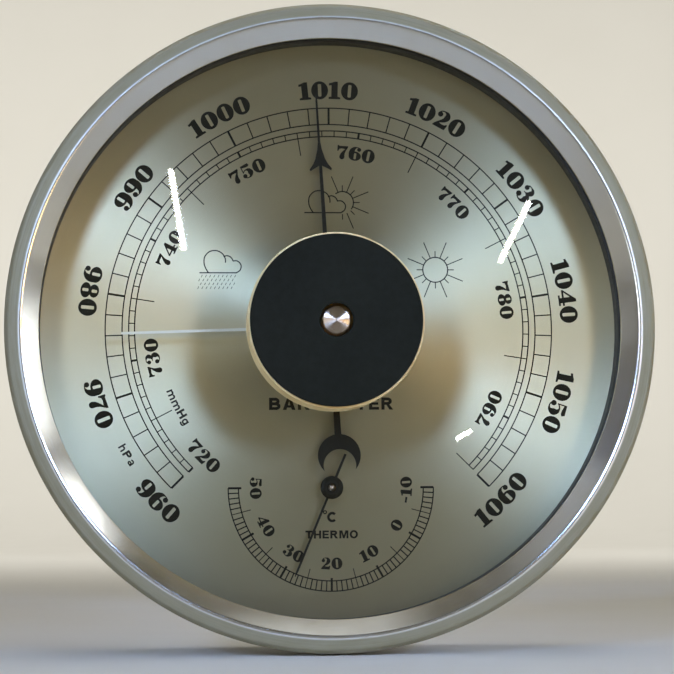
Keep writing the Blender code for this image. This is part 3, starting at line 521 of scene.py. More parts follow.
def fat_digits():
    """Fat-face digits one unit high, as (filled outline, width)."""
    six = ([ellipse(0.45, 0.33, 0.45, 0.345),
            *stroke([(0.70, 0.95, 0.035), (0.56, 0.985, 0.03), (0.36, 0.90, 0.11),
                     (0.22, 0.68, 0.19), (0.20, 0.42, 0.20), (0.26, 0.25, 0.12)]),
            ball(0.71, 0.835, 0.145)],
           [slot_hole(0.47, 0.325, 0.085, 0.225)])
    nine = tuple([[(0.90 - x, 1.0 - y) for x, y in outline] for outline in part] for part in six)
    hook = [(0.66, 0.31, 0.19), (0.57, 0.085, 0.09), (0.38, 0.018, 0.035), (0.22, 0.06, 0.035),
            (0.13, 0.16, 0.04)]
    shapes = {
        "0": ([ellipse(0.475, 0.5, 0.475, 0.515, 40)], [slot_hole(0.475, 0.5, 0.095, 0.36)]),
        "1": ([[(0.15, 0.0), (0.50, 0.0), (0.50, 1.0), (0.32, 1.0), (0.15, 0.93)],
               [(0.0, 0.0), (0.65, 0.0), (0.65, 0.10), (0.54, 0.13), (0.11, 0.13), (0.0, 0.10)],
               [(0.0, 0.77), (0.0, 0.90), (0.12, 0.92), (0.32, 1.0), (0.32, 0.76), (0.12, 0.79)]],
              []),
        "2": ([*stroke([(0.10, 0.77, 0.03), (0.20, 0.93, 0.03), (0.40, 0.98, 0.04),
                        (0.58, 0.91, 0.11), (0.645, 0.72, 0.165), (0.55, 0.52, 0.12),
                        (0.33, 0.33, 0.06), (0.14, 0.14, 0.04), (0.07, 0.03, 0.03)]),
               ball(0.20, 0.745, 0.15),
               [(0.03, 0.0), (0.78, 0.0), (0.84, 0.32), (0.77, 0.33), (0.68, 0.25), (0.52, 0.24),
                (0.28, 0.28), (0.13, 0.18)]], []),
        "3": ([*stroke([(0.13, 0.86, 0.03), (0.22, 0.96, 0.035), (0.38, 0.985, 0.035),
                        (0.56, 0.92, 0.095), (0.61, 0.76, 0.155), (0.50, 0.60, 0.095),
                        (0.36, 0.545, 0.03)]),
               *stroke([(0.26, 0.53, 0.03), (0.42, 0.535, 0.035), (0.59, 0.49, 0.12), *hook]),
               ball(0.19, 0.79, 0.14), ball(0.175, 0.21, 0.155)], []),
        "4": ([[(0.44, 0.0), (0.74, 0.0), (0.74, 1.0), (0.64, 1.0), (0.44, 0.76)],
               [(0.28, 0.0), (0.88, 0.0), (0.88, 0.10), (0.28, 0.10)],
               [(0.0, 0.22), (0.90, 0.22), (0.90, 0.33), (0.0, 0.33)],
               [(0.0, 0.30), (0.09, 0.27), (0.68, 0.94), (0.64, 1.0), (0.58, 1.0)]], []),
        "5": ([[(0.12, 1.0), (0.70, 1.03), (0.77, 0.86), (0.66, 0.79), (0.48, 0.785),
                (0.19, 0.85), (0.19, 0.47), (0.12, 0.45)],
               *stroke([(0.14, 0.47, 0.03), (0.26, 0.575, 0.035), (0.42, 0.615, 0.05),
                        (0.59, 0.53, 0.13), *hook]),
               ball(0.175, 0.22, 0.155)], []),
        "6": six,
        "7": ([[(0.02, 1.02), (0.10, 1.02), (0.18, 0.965), (0.80, 0.985), (0.77, 0.84),
                (0.56, 0.76), (0.33, 0.79), (0.17, 0.75), (0.095, 0.60), (0.02, 0.60)],
               *stroke([(0.76, 0.93, 0.04), (0.66, 0.76, 0.05), (0.51, 0.55, 0.095),
                        (0.41, 0.33, 0.16), (0.385, 0.16, 0.185)]),
               ball(0.385, 0.17, 0.185)], []),
        "8": ([ellipse(0.43, 0.74, 0.37, 0.275), ellipse(0.43, 0.275, 0.43, 0.29)],
              [slot_hole(0.44, 0.76, 0.085, 0.15), slot_hole(0.42, 0.26, 0.085, 0.165)]),
        "9": nine,
        "-": ([[(0.0, 0.36), (0.50, 0.36), (0.50, 0.53), (0.0, 0.53)]], []),
    }
    widths = {"0": 0.95, "1": 0.65, "2": 0.86, "3": 0.86, "4": 0.90, "5": 0.87, "7": 0.82,
              "8": 0.86, "-": 0.54}
    return {char: (fill(*parts), widths.get(char, 0.90)) for char, parts in shapes.items()}


def bold_letters():
    """Wide bold sans letters with capitals one unit high, as (filled outline, width)."""
    def box(left, low, right, high):
        return [(left, low), (right, low), (right, high), (left, high)]

    def bowl(x, y, wide, high, start, end, half):
        """A bold arc, with angles clockwise from the top."""
        return stroke([(x + wide * math.sin(math.radians(a)), y + high * math.cos(math.radians(a)),
                        half) for a in range(start, end + 1, 15)], 2)

    half = 0.125
    stem, loop = box(0.0, 0.0, 0.26, 1.0), bowl(0.50, 0.70, 0.24, 0.18, 0, 180, half)
    bars = [box(0.13, 0.755, 0.52, 1.0), box(0.13, 0.395, 0.52, 0.63)]
    arch = [*bowl(0.40, 0.42, 0.20, 0.21, -60, 90, 0.10), box(0.50, 0.0, 0.70, 0.43)]
    shapes = {
        "A": ([[(0.0, 0.0), (0.29, 0.0), (0.36, 0.19), (0.68, 0.19), (0.75, 0.0), (1.04, 0.0),
                (0.68, 1.0), (0.36, 1.0)]], [[(0.42, 0.38), (0.62, 0.38), (0.52, 0.72)]]),
        "B": ([stem, *bars, *loop, box(0.13, 0.0, 0.55, 0.235), box(0.13, 0.38, 0.55, 0.61),
               *bowl(0.54, 0.305, 0.27, 0.19, 0, 180, half)], []),
        "R": ([stem, *bars, *loop, [(0.40, 0.42), (0.66, 0.42), (0.98, 0.0), (0.66, 0.0)]], []),
        "P": ([stem, *bars, *loop], []),
        "O": ([ellipse(0.52, 0.5, 0.52, 0.525)], [ellipse(0.52, 0.5, 0.26, 0.30)]),
        "M": ([[(0.0, 0.0), (0.24, 0.0), (0.24, 0.70), (0.46, 0.0), (0.68, 0.0), (0.90, 0.70),
                (0.90, 0.0), (1.14, 0.0), (1.14, 1.0), (0.77, 1.0), (0.57, 0.38), (0.37, 1.0),
                (0.0, 1.0)]], []),
        "E": ([stem, box(0.0, 0.0, 0.82, 0.22), box(0.0, 0.40, 0.76, 0.60),
               box(0.0, 0.78, 0.80, 1.0)], []),
        "T": ([box(0.0, 0.77, 0.90, 1.0), box(0.32, 0.0, 0.58, 1.0)], []),
        "H": ([stem, box(0.66, 0.0, 0.92, 1.0), box(0.0, 0.39, 0.92, 0.61)], []),
        "C": ([*bowl(0.52, 0.5, 0.39, 0.39, 135, 405, half)], []),
        "h": ([box(0.0, 0.0, 0.21, 1.0), *arch], []),
        "m": ([box(0.0, 0.0, 0.20, 0.70), *arch,
               *[[(x + 0.48, y) for x, y in part] for part in arch]], []),
        "a": ([*bowl(0.32, 0.50, 0.22, 0.15, -75, 90, 0.085), box(0.45, 0.0, 0.64, 0.52),
               *bowl(0.28, 0.20, 0.20, 0.14, 0, 360, 0.085)], []),
        "g": ([*bowl(0.34, 0.34, 0.24, 0.27, 0, 360, 0.095), box(0.50, 0.0, 0.69, 0.70),
               *bowl(0.34, -0.02, 0.255, 0.17, 90, 255, 0.09)], []),
    }
    widths = {"A": 1.04, "B": 0.93, "R": 0.98, "P": 0.87, "O": 1.04, "M": 1.14, "E": 0.82,
              "T": 0.90, "H": 0.92, "C": 0.90, "h": 0.70, "m": 1.18, "a": 0.64, "g": 0.69}
    return {char: (fill(*parts), widths[char]) for char, parts in shapes.items()}


# ---------------------------------------------------------------- printing on the dial

INK = 0.035                    # how far the ink's face stands off the dial
INK_GAP = 0.004                # between the ink's back and the dial
HAIR = 0.24                    # width of a thin printed line
THICK = 0.44                   # width of a main tick
HPA_OUTER, HPA_INNER = 46.2, 42.75
MMHG_OUTER, MMHG_INNER = 41.4, 40.2
THERMO_OUTER, THERMO_INNER = 21.1, 19.0
MMHG_PER_HPA = 0.750062
HPA_TURN = 2.7                 # degrees of dial per hPa
CELSIUS_TURN = 3.0             # degrees of dial per degree C


class Print:
    """Ink that gathers filled outlines and becomes one thin piece."""

    def __init__(self):
        self.points, self.triangles = [], []

    def add(self, flat, place=lambda x, y: (x, y)):
        start = len(self.points)
        self.points += [place(x, y) for x, y in flat[0]]
        self.triangles += [[start + i for i in tri] for tri in flat[1]]

    def word(self, chars, text, height, place, gap):
        """Lay characters side by side about the middle; place takes (along, up)."""
        parts = [chars[char] for char in text]
        length = sum(width for _, width in parts) + gap * (len(parts) - 1)
        along = -length / 2
        for flat, width in parts:
            middle = along + width / 2
            self.add(flat, lambda x, y: place(middle * height, (x - width / 2) * height, y * height))
            along += width + gap

    def arc_word(self, chars, text, height, radius, angle, outward, gap, centre=(0.0, 0.0)):
        """Lay characters round an arc through their middles, with tops outward or inward."""
        side = 1.0 if outward else -1.0

        def place(middle, x, y):
            turn = math.radians(angle + side * math.degrees(middle / radius))
            across, up = side * x, radius + side * (y - height / 2)
            return (centre[0] + up * math.sin(turn) + across * math.cos(turn),
                    centre[1] + up * math.cos(turn) - across * math.sin(turn))
        self.word(chars, text, height, place, gap)

    def straight_word(self, chars, text, height, x0, z0, gap=0.12):
        self.word(chars, text, height, lambda m, x, y: (x0 + m + x, z0 + y - height / 2), gap)

    def piece(self, name):
        bm = sheet_bmesh((self.points, self.triangles), DIAL_FRONT - INK, DIAL_FRONT - INK_GAP)
        return add_piece(name, bm, looks["dial_ink"], "case")


def hpa_angle(value):
    return (value - 1010.0) * HPA_TURN


def mmhg_angle(value):
    return hpa_angle(value / MMHG_PER_HPA)


def celsius_angle(value):
    return 180.0 + (value - 20.0) * CELSIUS_TURN


def print_scales():
    """Both pressure scales with their numbers and units."""
    digits, letters = fat_digits(), bold_letters()
    ends = hpa_angle(960), hpa_angle(1060)
    shapes = [band(HPA_OUTER, HAIR, *ends), band(HPA_INNER, HAIR, *ends)]
    for value in range(960, 1061, 2):
        width = THICK if value % 10 == 0 else HAIR
        shapes.append(spoke(hpa_angle(value), HPA_INNER, HPA_OUTER, width))
    ink = Print()
    ink.add(fill(shapes))
    ends = mmhg_angle(720), mmhg_angle(795)
    shapes = [band(MMHG_OUTER, HAIR, *ends), band(MMHG_INNER, HAIR, *ends)]
    for value in range(720, 796):
        width = THICK if value % 10 == 0 else HAIR * 0.85
        inner = MMHG_INNER - (3.6 if value % 10 == 5 else 0.0)
        shapes.append(spoke(mmhg_angle(value), inner, MMHG_OUTER, width))
    ink.add(fill(shapes))
    for value in range(960, 1061, 10):
        outward = 990 <= value <= 1050
        ink.arc_word(digits, str(value), 3.7, 50.0, hpa_angle(value), outward, 0.045)
    for value in range(720, 791, 10):
        outward = 730 <= value <= 780
        ink.arc_word(digits, str(value), 2.85, 37.0, mmhg_angle(value), outward, 0.06)
    ink.arc_word(letters, "hPa", 1.7, 49.0, -121.8, False, 0.24)
    ink.arc_word(letters, "mmHg", 1.75, 35.2, -117.2, False, 0.16)
    ink.piece("dial_print_pressure")


def print_thermometer():
    """The thermometer's scale, its numbers and the plain words of the dial."""
    digits, letters = fat_digits(), bold_letters()
    ends = celsius_angle(-10), celsius_angle(50)
    shapes = [band(THERMO_OUTER, HAIR, *ends, THERMO), band(THERMO_INNER, HAIR, *ends, THERMO)]
    for value in range(-10, 51):
        width, inner = HAIR, THERMO_INNER
        if value % 10 == 0:
            width, inner = THICK, THERMO_INNER - 0.6
        elif value % 5 == 0:
            width, inner = HAIR * 0.7, THERMO_INNER - 1.9
        shapes.append(spoke(celsius_angle(value), inner, THERMO_OUTER, width, THERMO))
    ink = Print()
    ink.add(fill(shapes))
    for value in range(-10, 51, 10):
        middle = celsius_angle(max(value, -9.4))
        ink.arc_word(digits, str(value), 2.35, 15.5, middle, False, 0.06, THERMO)
    ink.straight_word(letters, "C", 2.05, 0.05, -38.75)
    ink.add(fill([circle(0.42, 24, (-1.3, -37.75))], [circle(0.2, 24, (-1.3, -37.75))]))
    ink.straight_word(letters, "THERMO", 1.62, 0.05, -42.3, 0.17)
    ink.straight_word(letters, "BAROMETER", 2.5, 0.15, -15.5, 0.20)
    ink.piece("dial_print_thermometer")


def sun_rays(centre, disc, hidden=lambda angle: False):
    """Outlines of sixteen rays, long and short in turn, where nothing hides them."""
    rays = []
    for i in range(16):
        if not hidden(22.5 * i):
            outer = disc + (3.6 if i % 2 else 1.3)
            rays.append(spoke(22.5 * i, disc + 0.12, outer, HAIR * 0.8, centre))
    return rays


def cloud(x, z):
    """Outlines of a cloud: a large curl, a small one and a rounded end over a straight base."""
    base = z - 2.4
    curls = (
        [(x - 1.35, base), (x - 1.95, z - 1.4), (x - 2.25, z - 0.4), (x - 2.1, z + 0.95),
         (x - 1.1, z + 2.0), (x + 0.3, z + 2.2), (x + 1.5, z + 1.6), (x + 2.1, z + 0.6), (x + 2.15, z - 0.3)],
        [(x + 1.75, z + 0.95), (x + 2.5, z + 1.15), (x + 3.3, z + 0.8), (x + 3.75, z + 0.05)],
        [(x + 3.65, z + 0.05), (x + 4.6, z + 0.05), (x + 5.35, z - 0.75), (x + 5.2, z - 1.8),
         (x + 4.4, base)],
    )
    shapes = [line((x - 3.2, base), (x + 4.5, base), HAIR)]
    for curl in curls:
        shapes += stroke([(*point, HAIR / 2) for point in curl])
    return shapes


def print_icons():
    """Weather signs: rain cloud, cloud before the sun, and sun."""
    ink = Print()
    shapes = cloud(-23.7, 14.0)
    for row in range(4):
        for k in range(9):
            x, z = -26.3 + 0.86 * k - 0.43 * (row % 2) - 0.1 * row, 11.15 - 0.8 * row
            shapes.append(line((x, z), (x - 0.26, z - 0.5), HAIR * 0.5))
    ink.add(fill(shapes))
    half_sun = (2.75, 26.35)
    shapes = cloud(-2.0, 26.6) + sun_rays(half_sun, 2.3, lambda angle: 200.0 < angle < 335.0)
    ink.add(fill(shapes))
    ink.add(fill([band(2.3, HAIR, -38.0, 128.0, half_sun, 6.0)]))
    ink.add(fill(sun_rays((22.0, 12.3), 2.6)))
    ink.add(fill([band(2.6, HAIR, 0.0, 360.0, (22.0, 12.3), 6.0)]))
    ink.piece("dial_print_icons")


# ---------------------------------------------------------------- case, glass and dial

def make_bezel():
    turned("bezel_ring", [
        (OPENING_RADIUS, LIP_Y, 0.12), (CREST_RADIUS - 0.12, CREST_Y, 1.1),
        (BEZEL_RADIUS - 0.8, CREST_Y + 0.4, 0.7), (BEZEL_RADIUS, CREST_Y + 1.5, 0.8),
        (BEZEL_RADIUS, SKIRT_Y, 0.25),
        (BEZEL_RADIUS - 0.8, SKIRT_Y, 0.25), (BEZEL_RADIUS - 0.8, CREST_Y + 2.8, 0.6),
        (BEZEL_RADIUS - 1.6, CREST_Y + 1.7, 0.5), (CREST_RADIUS + 0.25, CREST_Y + 0.9, 0.5),
        (CREST_RADIUS - 0.65, CREST_Y + 1.3, 0.5), (OPENING_RADIUS, LIP_Y + 0.6, 0.0),
    ], "case", "bezel_steel")


def make_case():
    rim = span("case_shell")[1].x
    front, rear = (corner.y for corner in span("case_shell"))
    barrel = rim - 2.6
    turned("case_shell", [
        (rim, front, 0.2), (rim, front + 7.6, 0.6), (rim - 1.7, front + 8.9, 0.8),
        (barrel, front + 10.0, 1.0), (barrel, rear, 0.2), (barrel - 1.0, rear, 0.2),
        (barrel - 1.0, front + 9.6, 0.6), (barrel + 0.2, front + 8.3, 0.6),
        (rim - 1.0, front + 7.2, 0.5), (rim - 1.0, front, 0.2),
    ], "case", "case_steel")
    edge = span("rear_flange")[1].x
    seat = COVER_RADIUS + 0.3
    turned("rear_flange", [
        (edge, rear + 0.3, 0.1), (edge - 0.5, -0.9, 0.6), (edge - 1.5, -0.2, 0.8),
        (edge - 3.1, 0.0, 0.5), (seat, 0.0, 0.25), (seat, COVER_FRONT - 0.3, 0.15),
        (47.5, COVER_FRONT - 0.3, 0.2), (47.5, COVER_FRONT - 1.3, 0.2),
        (seat + 1.0, COVER_FRONT - 1.3, 0.4), (seat + 1.0, -1.0, 0.4), (edge - 3.0, -1.0, 0.4),
        (edge - 1.7, rear + 0.3, 0.1),
    ], "case", "case_steel")


def make_glazing():
    turned("front_glass", [
        (GLASS_BORE, GLASS_FRONT, 0.2), (GLASS_RADIUS, GLASS_FRONT, 0.3),
        (GLASS_RADIUS, GLASS_BACK, 0.3), (GLASS_BORE, GLASS_BACK, 0.2),
    ], "case", "clear_glass")
    for node, slot in (("glass_gasket", "black_rubber"), ("spacer_ring", "spacer_black")):
        low, high = span(node)
        turned(node, [
            (WALL_RADIUS, low.y, 0.15), (high.x, low.y, 0.2), (high.x, high.y, 0.2),
            (WALL_RADIUS, high.y, 0.1),
        ], "case", slot)


def make_dial():
    outline = fill([circle(DIAL_RADIUS, FINE)], [circle(2.0, 64), circle(1.7, 64, THERMO)])
    add_fine("dial_plate", sheet_bmesh(outline, DIAL_FRONT, DIAL_BACK), "case", "dial_silver")
    print_scales()
    print_thermometer()
    print_icons()


# ---------------------------------------------------------------- hands

def add_hand(node, flat, body, slot):
    """A flat stamped hand that replaces its CAD node between the same two depths."""
    low, high = span(node)
    add_fine(node, sheet_bmesh(flat, low.y, high.y), body, slot)


def make_pressure_hand():
    """Spike, barbed arrowhead, tapering stem, boss, tail stem and crescent."""
    half = [(0.06, 48.6), (0.2, 47.2), (0.24, 38.6), (0.46, 37.0), (1.0, 35.0), (1.55, 33.9),
            (2.3, 32.9), (2.15, 32.55), (1.35, 33.05), (0.3, 33.6), (0.55, 3.5)]
    arrow = half + [(-x, z) for x, z in reversed(half)]
    tail = [(-0.5, -3.4), (0.5, -3.4), (0.68, -22.4), (-0.68, -22.4)]
    crescent = circle(4.37, 64, (0.0, -26.3))
    hollow = circle(3.33, 64, (0.0, -28.33))
    flat = fill([arrow, circle(3.6, 64), tail, crescent], [hollow, circle(1.05, 32)])
    add_hand("pressure_hand", turn_flat(flat, PRESSURE_REST), "pointer", "black_hand")


def make_set_hand():
    blade = [(-0.3, 2.7), (0.3, 2.7), (0.24, 42.7), (0.12, 42.8), (-0.12, 42.8), (-0.24, 42.7)]
    flat = turn_flat(fill([circle(2.8, 64), blade], [circle(1.5, 48)]), SET_REST)
    add_hand("set_hand", flat, "set_knob", "pale_gilt")


def make_thermometer_hand():
    blade = [(-0.24, 1.5), (0.24, 1.5), (0.22, 18.4), (0.05, 19.6), (-0.05, 19.6), (-0.22, 18.4)]
    tail = [(-0.24, -7.4), (0.24, -7.4), (0.27, -1.5), (-0.27, -1.5)]
    flat = fill([circle(1.7, 48), blade, tail], [circle(0.8, 32)])
    flat = turn_flat(flat, THERMO_REST, THERMO)
    add_hand("thermometer_hand", flat, "thermometer_pointer", "black_hand")
    low, high = span("thermometer_cap")
    turned("thermometer_cap", [
        (0.8, low.y, 0.05), (1.45, low.y, 0.25), (2.2, low.y + 0.35, 0.3), (2.4, high.y, 0.08),
        (0.8, high.y, 0.0),
    ], "thermometer_pointer", "black_hand", THERMO, SMALL)
    low, high = span("thermometer_arbor")
    turned("thermometer_arbor", [
        (0.0, low.y, 0.0), (0.3, low.y, 0.1), (0.5, low.y + 0.2, 0.08), (0.5, low.y + 5.9, 0.0),
        (1.2, low.y + 6.1, 0.0), (1.2, high.y - 2.1, 0.0), (0.5, high.y - 1.9, 0.0),
        (0.5, high.y, 0.05), (0.0, high.y, 0.0),
    ], "thermometer_pointer", "bright_steel", THERMO, SMALL, False)


# ---------------------------------------------------------------- centre knob

def make_knob():
    """Cream body in two layers with a seam, black face, and the steel hub with its cone."""
    low, high = span("knob_disc_front")
    front_bore = KNOB_BORE + 0.4
    turned("knob_disc_front", [
        (front_bore, low.y, 0.1), (KNOB_RADIUS, low.y, 0.25), (KNOB_RADIUS, high.y, 0.75),
        (front_bore, high.y, 0.1),
    ], "set_knob", "knob_cream")
    low, high = span("knob_disc_rear")
    turned("knob_disc_rear", [
        (KNOB_BORE, low.y, 0.1), (KNOB_RADIUS, low.y, 0.75), (KNOB_RADIUS, high.y, 0.3),
        (9.6, high.y, 0.1), (9.6, high.y - 2.0, 0.0), (KNOB_BORE, high.y - 2.0, 0.0),
    ], "set_knob", "knob_cream")
    high = span("knob_face")[1]
    turned("knob_face", [
        (KNOB_BORE, KNOB_FACE_Y, 0.35), (KNOB_FACE_RADIUS, KNOB_FACE_Y, 0.22),
        (KNOB_FACE_RADIUS, high.y, 0.0), (KNOB_BORE, high.y, 0.0),
    ], "set_knob", "knob_black")
    low, high = span("knob_hub")
    bore, bore_end = 1.5, -38.3          # where the knob's spindle sits
    turned("knob_hub", [
        (0.0, low.y, 0.0), (2.6, low.y + 0.8, 0.1), (2.75, low.y + 1.1, 0.1),
        (2.75, high.y - 1.2, 0.2), (high.x, high.y - 1.2, 0.1),
        (high.x, high.y, 0.1), (bore, high.y, 0.0), (bore, bore_end, 0.0), (0.0, bore_end, 0.0),
    ], "set_knob", "bright_steel", closed=False)


# ---------------------------------------------------------------- rear

def keyhole_outline():
    """The hanging slot of the cover: a round entry below a narrow rounded slot."""
    entry, slot, middle, rise = 4.6, 2.4, (0.0, 31.0), 9.0
    lift = math.degrees(math.asin(slot / entry))
    low = arc(entry, lift, 360.0 - lift, 6.0, middle)
    top = arc(slot, -90.0, 90.0, 6.0, (middle[0], middle[1] + rise))
    return low + top


def make_rear_cover():
    vents = [circle(1.3, 32, (x, -38.0)) for x in (-9.0, -3.0, 3.0, 9.0)]
    rivets = [circle(1.5, 32, (x, 34.0)) for x in (-9.5, 9.5)]
    adjust = circle(3.1, 48, (-8.0, -2.85))
    screws = [circle(2.45, 40, polar(49.7, angle)) for angle in (0.0, 120.0, 240.0)]
    holes = [keyhole_outline(), adjust] + vents + rivets + screws
    outline = fill([circle(COVER_RADIUS, FINE)], holes)
    add_fine("rear_cover", sheet_bmesh(outline, COVER_FRONT, 0.0), "case", "case_steel")


def slotted(piece, middle, width, depth, angle):
    """Cut a screwdriver slot across a head that faces +Y."""
    bm = bmesh.new()
    bmesh.ops.create_cube(bm, size=1.0)
    bmesh.ops.scale(bm, vec=(12.0, 2.0, width), verts=bm.verts)
    bmesh.ops.rotate(bm, cent=(0, 0, 0), matrix=Matrix.Rotation(math.radians(angle), 3, "Y"),
                     verts=bm.verts)
    bmesh.ops.translate(bm, vec=(middle[0], depth + 1.0, middle[1]), verts=bm.verts)
    bmesh.ops.scale(bm, vec=(MM, MM, MM), verts=bm.verts)
    mesh = bpy.data.meshes.new("slot_tool")
    bm.to_mesh(mesh)
    bm.free()
    tool = link("slot_tool", mesh)
    cut = piece.modifiers.new("slot", "BOOLEAN")
    cut.operation, cut.solver, cut.object = "DIFFERENCE", "EXACT", tool
    bpy.context.view_layer.update()
    shaped = bpy.data.meshes.new_from_object(
        piece.evaluated_get(bpy.context.evaluated_depsgraph_get()))
    piece.modifiers.clear()
    piece.data = shaped
    bpy.data.objects.remove(tool)


def make_fasteners():
    for index in (1, 2, 3):
        low, high, middle = span_and_middle(f"cover_screw_{index}")
        screw = turned(f"cover_screw_{index}", [
            (0.0, low.y, 0.0), (0.8, low.y, 0.1), (0.8, -1.4, 0.1), (2.3, -0.2, 0.05),
            (2.3, high.y - 0.05, 0.05), (2.0, high.y, 0.1), (0.0, high.y, 0.0),
        ], "case", "steel", middle, 64, False)
        slotted(screw, middle, 0.5, -0.65, 25.0 + 40.0 * index)
    for index in (1, 2):
        low, high, middle = span_and_middle(f"hanger_rivet_{index}")
        turned(f"hanger_rivet_{index}", [
            (0.0, high.y, 0.0), (0.9, high.y - 0.02, 0.2), (1.25, high.y - 0.3, 0.1),
            (1.25, low.y + 0.9, 0.0), (2.2, low.y + 0.9, 0.1), (1.8, low.y + 0.1, 0.3),
            (0.0, low.y, 0.0),
        ], "case", "steel", middle, 48, False)
    low, high, middle = span_and_middle("adjusting_screw")
    screw = turned("adjusting_screw", [
        (0.0, low.y, 0.0), (1.2, low.y, 0.1), (1.2, high.y - 2.1, 0.1), (2.7, high.y - 2.1, 0.1),
        (2.7, high.y - 0.4, 0.1), (2.3, high.y, 0.1), (0.0, high.y, 0.0),
    ], "adjuster", "brass", middle, 64, False)
    slotted(screw, middle, 0.8, high.y - 1.0, 0.0)


def paint_cad_nodes():
    """Give every CAD node that still shows its slot's procedural material."""
    for part in frame["record"]["subparts"]:
        node = frame["nodes"][part["node"]]
        look = looks[part["material_slot"]]
        node.data.materials.clear()
        node.data.materials.append(look)


# ---------------------------------------------------------------- studio

CAMERA_PLACE = (-30.4, -451.8, -40.2)
CAMERA_AIM = (1.43, -25.5, -1.71)
CAMERA_ROLL = -0.41
CAMERA_LENS = 111.0
DIAL_MIDDLE = Vector((0.0, -28.0, 0.0))


def make_camera():
    data = bpy.data.cameras.new("camera")
    data.lens = CAMERA_LENS
    camera = link("camera", data)
    place, aim = Vector(CAMERA_PLACE), Vector(CAMERA_AIM)
    look = (aim - place).to_track_quat("-Z", "Y")
    camera.location = place * MM
    camera.rotation_mode = "QUATERNION"
    camera.rotation_quaternion = look @ Quaternion((0, 0, 1), math.radians(CAMERA_ROLL))
    bpy.context.scene.camera = camera


def add_area(name, place, aim, size, power, color, spread=180.0):
    """A rectangular lamp at a place in millimetres, facing an aim; size is (wide, high)."""
    data = bpy.data.lights.new(name, "AREA")
    data.spread = math.radians(spread)
    data.shape = "RECTANGLE"
    data.size, data.size_y = size[0] * MM, size[1] * MM
    data.energy = power
    data.color = color
    lamp = link(name, data)
    lamp.location = place * MM
    lamp.rotation_mode = "QUATERNION"
    lamp.rotation_quaternion = (aim - place).to_track_quat("-Z", "Y")
    return lamp


def around(angle, off_axis, distance):
    """A place seen from the dial at a clockwise angle, so far off the dial's own axis."""
    turn, lean = math.radians(angle), math.radians(off_axis)
    way = Vector((math.sin(lean) * math.sin(turn), -math.cos(lean), math.sin(lean) * math.cos(turn)))
    return DIAL_MIDDLE + way * distance


def make_lamps():
    cool, warm, plain = (0.39, 0.57, 1.0), (1.0, 0.70, 0.32), (0.98, 0.99, 1.0)
    # name, clockwise angle, angle off the axis, distance, size, power, colour, spread
    lamps = (
        ("key_left", 307.0, 37.0, 900.0, (220.0, 200.0), 0.138, cool, 20.0),
        ("key_right", 60.0, 37.0, 900.0, (200.0, 200.0), 0.124, cool, 20.0),
        ("side_left", 276.0, 29.0, 900.0, (200.0, 160.0), 0.014, plain, 24.0),
        ("side_right", 88.0, 29.0, 900.0, (200.0, 160.0), 0.023, warm, 24.0),
        ("panel_right", 52.0, 77.0, 900.0, (200.0, 170.0), 0.30, plain, 150.0),
        ("panel_far_right", 76.0, 75.0, 900.0, (640.0, 340.0), 0.95, plain, 150.0),
        ("panel_left", 275.0, 77.0, 900.0, (240.0, 120.0), 0.11, plain, 150.0),
        ("panel_top", 12.0, 77.0, 900.0, (760.0, 260.0), 0.27, plain, 150.0),
        ("panel_upper_left", 318.0, 77.0, 900.0, (260.0, 420.0), 0.10, plain, 150.0),
        ("overhead", 0.0, 100.0, 1100.0, (800.0, 500.0), 3.2, plain, 180.0),
    )
    for name, angle, off_axis, distance, size, power, color, spread in lamps:
        add_area(name, around(angle, off_axis, distance), DIAL_MIDDLE, size, power, color, spread)
    wall = Vector((0.0, 2100.0, 250.0))
    for side in (-1.0, 1.0):
        # One lamp lights the floor beside the object but not its dial, one the wall behind it
        ground = Vector((side * 520.0, -250.0, span("bezel_ring")[0].z))
        above = ground + Vector((0.0, 0.0, 760.0))
        add_area(f"floor_wash_{side:+.0f}", above, ground, (200.0, 200.0), 0.20, plain, 62.0)
        place = Vector((side * 1100.0, 700.0, 900.0))
        add_area(f"backdrop_{side:+.0f}", place, wall, (500.0, 500.0), 10.0, plain, 120.0)


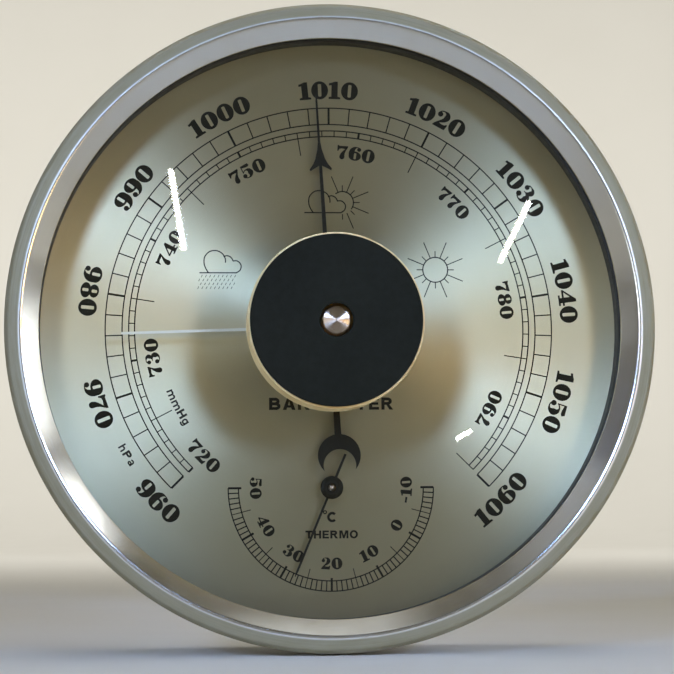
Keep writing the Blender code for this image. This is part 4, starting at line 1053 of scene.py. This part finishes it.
STREAKS = (                    # ends of the tubes' mirror images on the glass, and their width
    ((-32.8, 31.9), (-30.1, 15.4), 4.6),
    ((40.8, 25.6), (34.4, 12.9), 4.6),
    ((28.1, -21.4), (25.1, -23.2), 3.4),
)


def make_tubes():
    """Lamp tubes behind the camera, placed so that the glass mirrors them at the streaks."""
    eye = Vector(CAMERA_PLACE)
    for index, (first, last, width) in enumerate(STREAKS, 1):
        ends = []
        for x, z in (first, last):
            spot = Vector((x, GLASS_FRONT, z))
            way = (spot - eye).normalized()
            ends.append(spot + Vector((way.x, -way.y, way.z)) * 1500.0)
        middle = (ends[0] + ends[1]) / 2
        along = ends[1] - ends[0]
        out = (middle - DIAL_MIDDLE).normalized()
        side = out.cross(along.normalized()).normalized()
        up = out.cross(side)
        lamp = add_area(f"tube_{index}", middle, DIAL_MIDDLE, (along.length, width), 0.05,
                        (0.95, 0.98, 1.0))
        lamp.rotation_quaternion = Matrix((-up, side, out)).transposed().to_quaternion()


def make_floor():
    """A wide pale floor that curves up far away on every side."""
    top = span("bezel_ring")[0].z - 0.3
    profile = [(0.0, 0.0, 0.0), (2300.0, 0.0, 700.0), (2600.0, 1800.0, 0.0), (2640.0, 1800.0, 0.0),
               (2340.0, -40.0, 700.0), (0.0, -40.0, 0.0)]
    bm = turned_bmesh(rounded(profile, 12), steps=96, closed=False)
    bmesh.ops.rotate(bm, cent=(0, 0, 0), matrix=Matrix.Rotation(math.radians(90.0), 3, "X"),
                     verts=bm.verts)
    bmesh.ops.translate(bm, vec=(0.0, 0.0, top), verts=bm.verts)
    add_mesh("floor", bm, looks["floor"])


def make_world():
    world = bpy.data.worlds.new("studio")
    world.use_nodes = True
    background = world.node_tree.nodes["Background"]
    background.inputs["Color"].default_value = (1.0, 0.93, 0.72, 1.0)
    background.inputs["Strength"].default_value = 0.12
    bpy.context.scene.world = world
    bpy.context.scene.view_settings.view_transform = "Standard"


make_camera()
paint_cad_nodes()
make_bezel()
make_case()
make_glazing()
make_dial()
make_pressure_hand()
make_set_hand()
make_thermometer_hand()
make_knob()
make_rear_cover()
make_fasteners()
make_floor()
make_lamps()
make_tubes()
make_world()
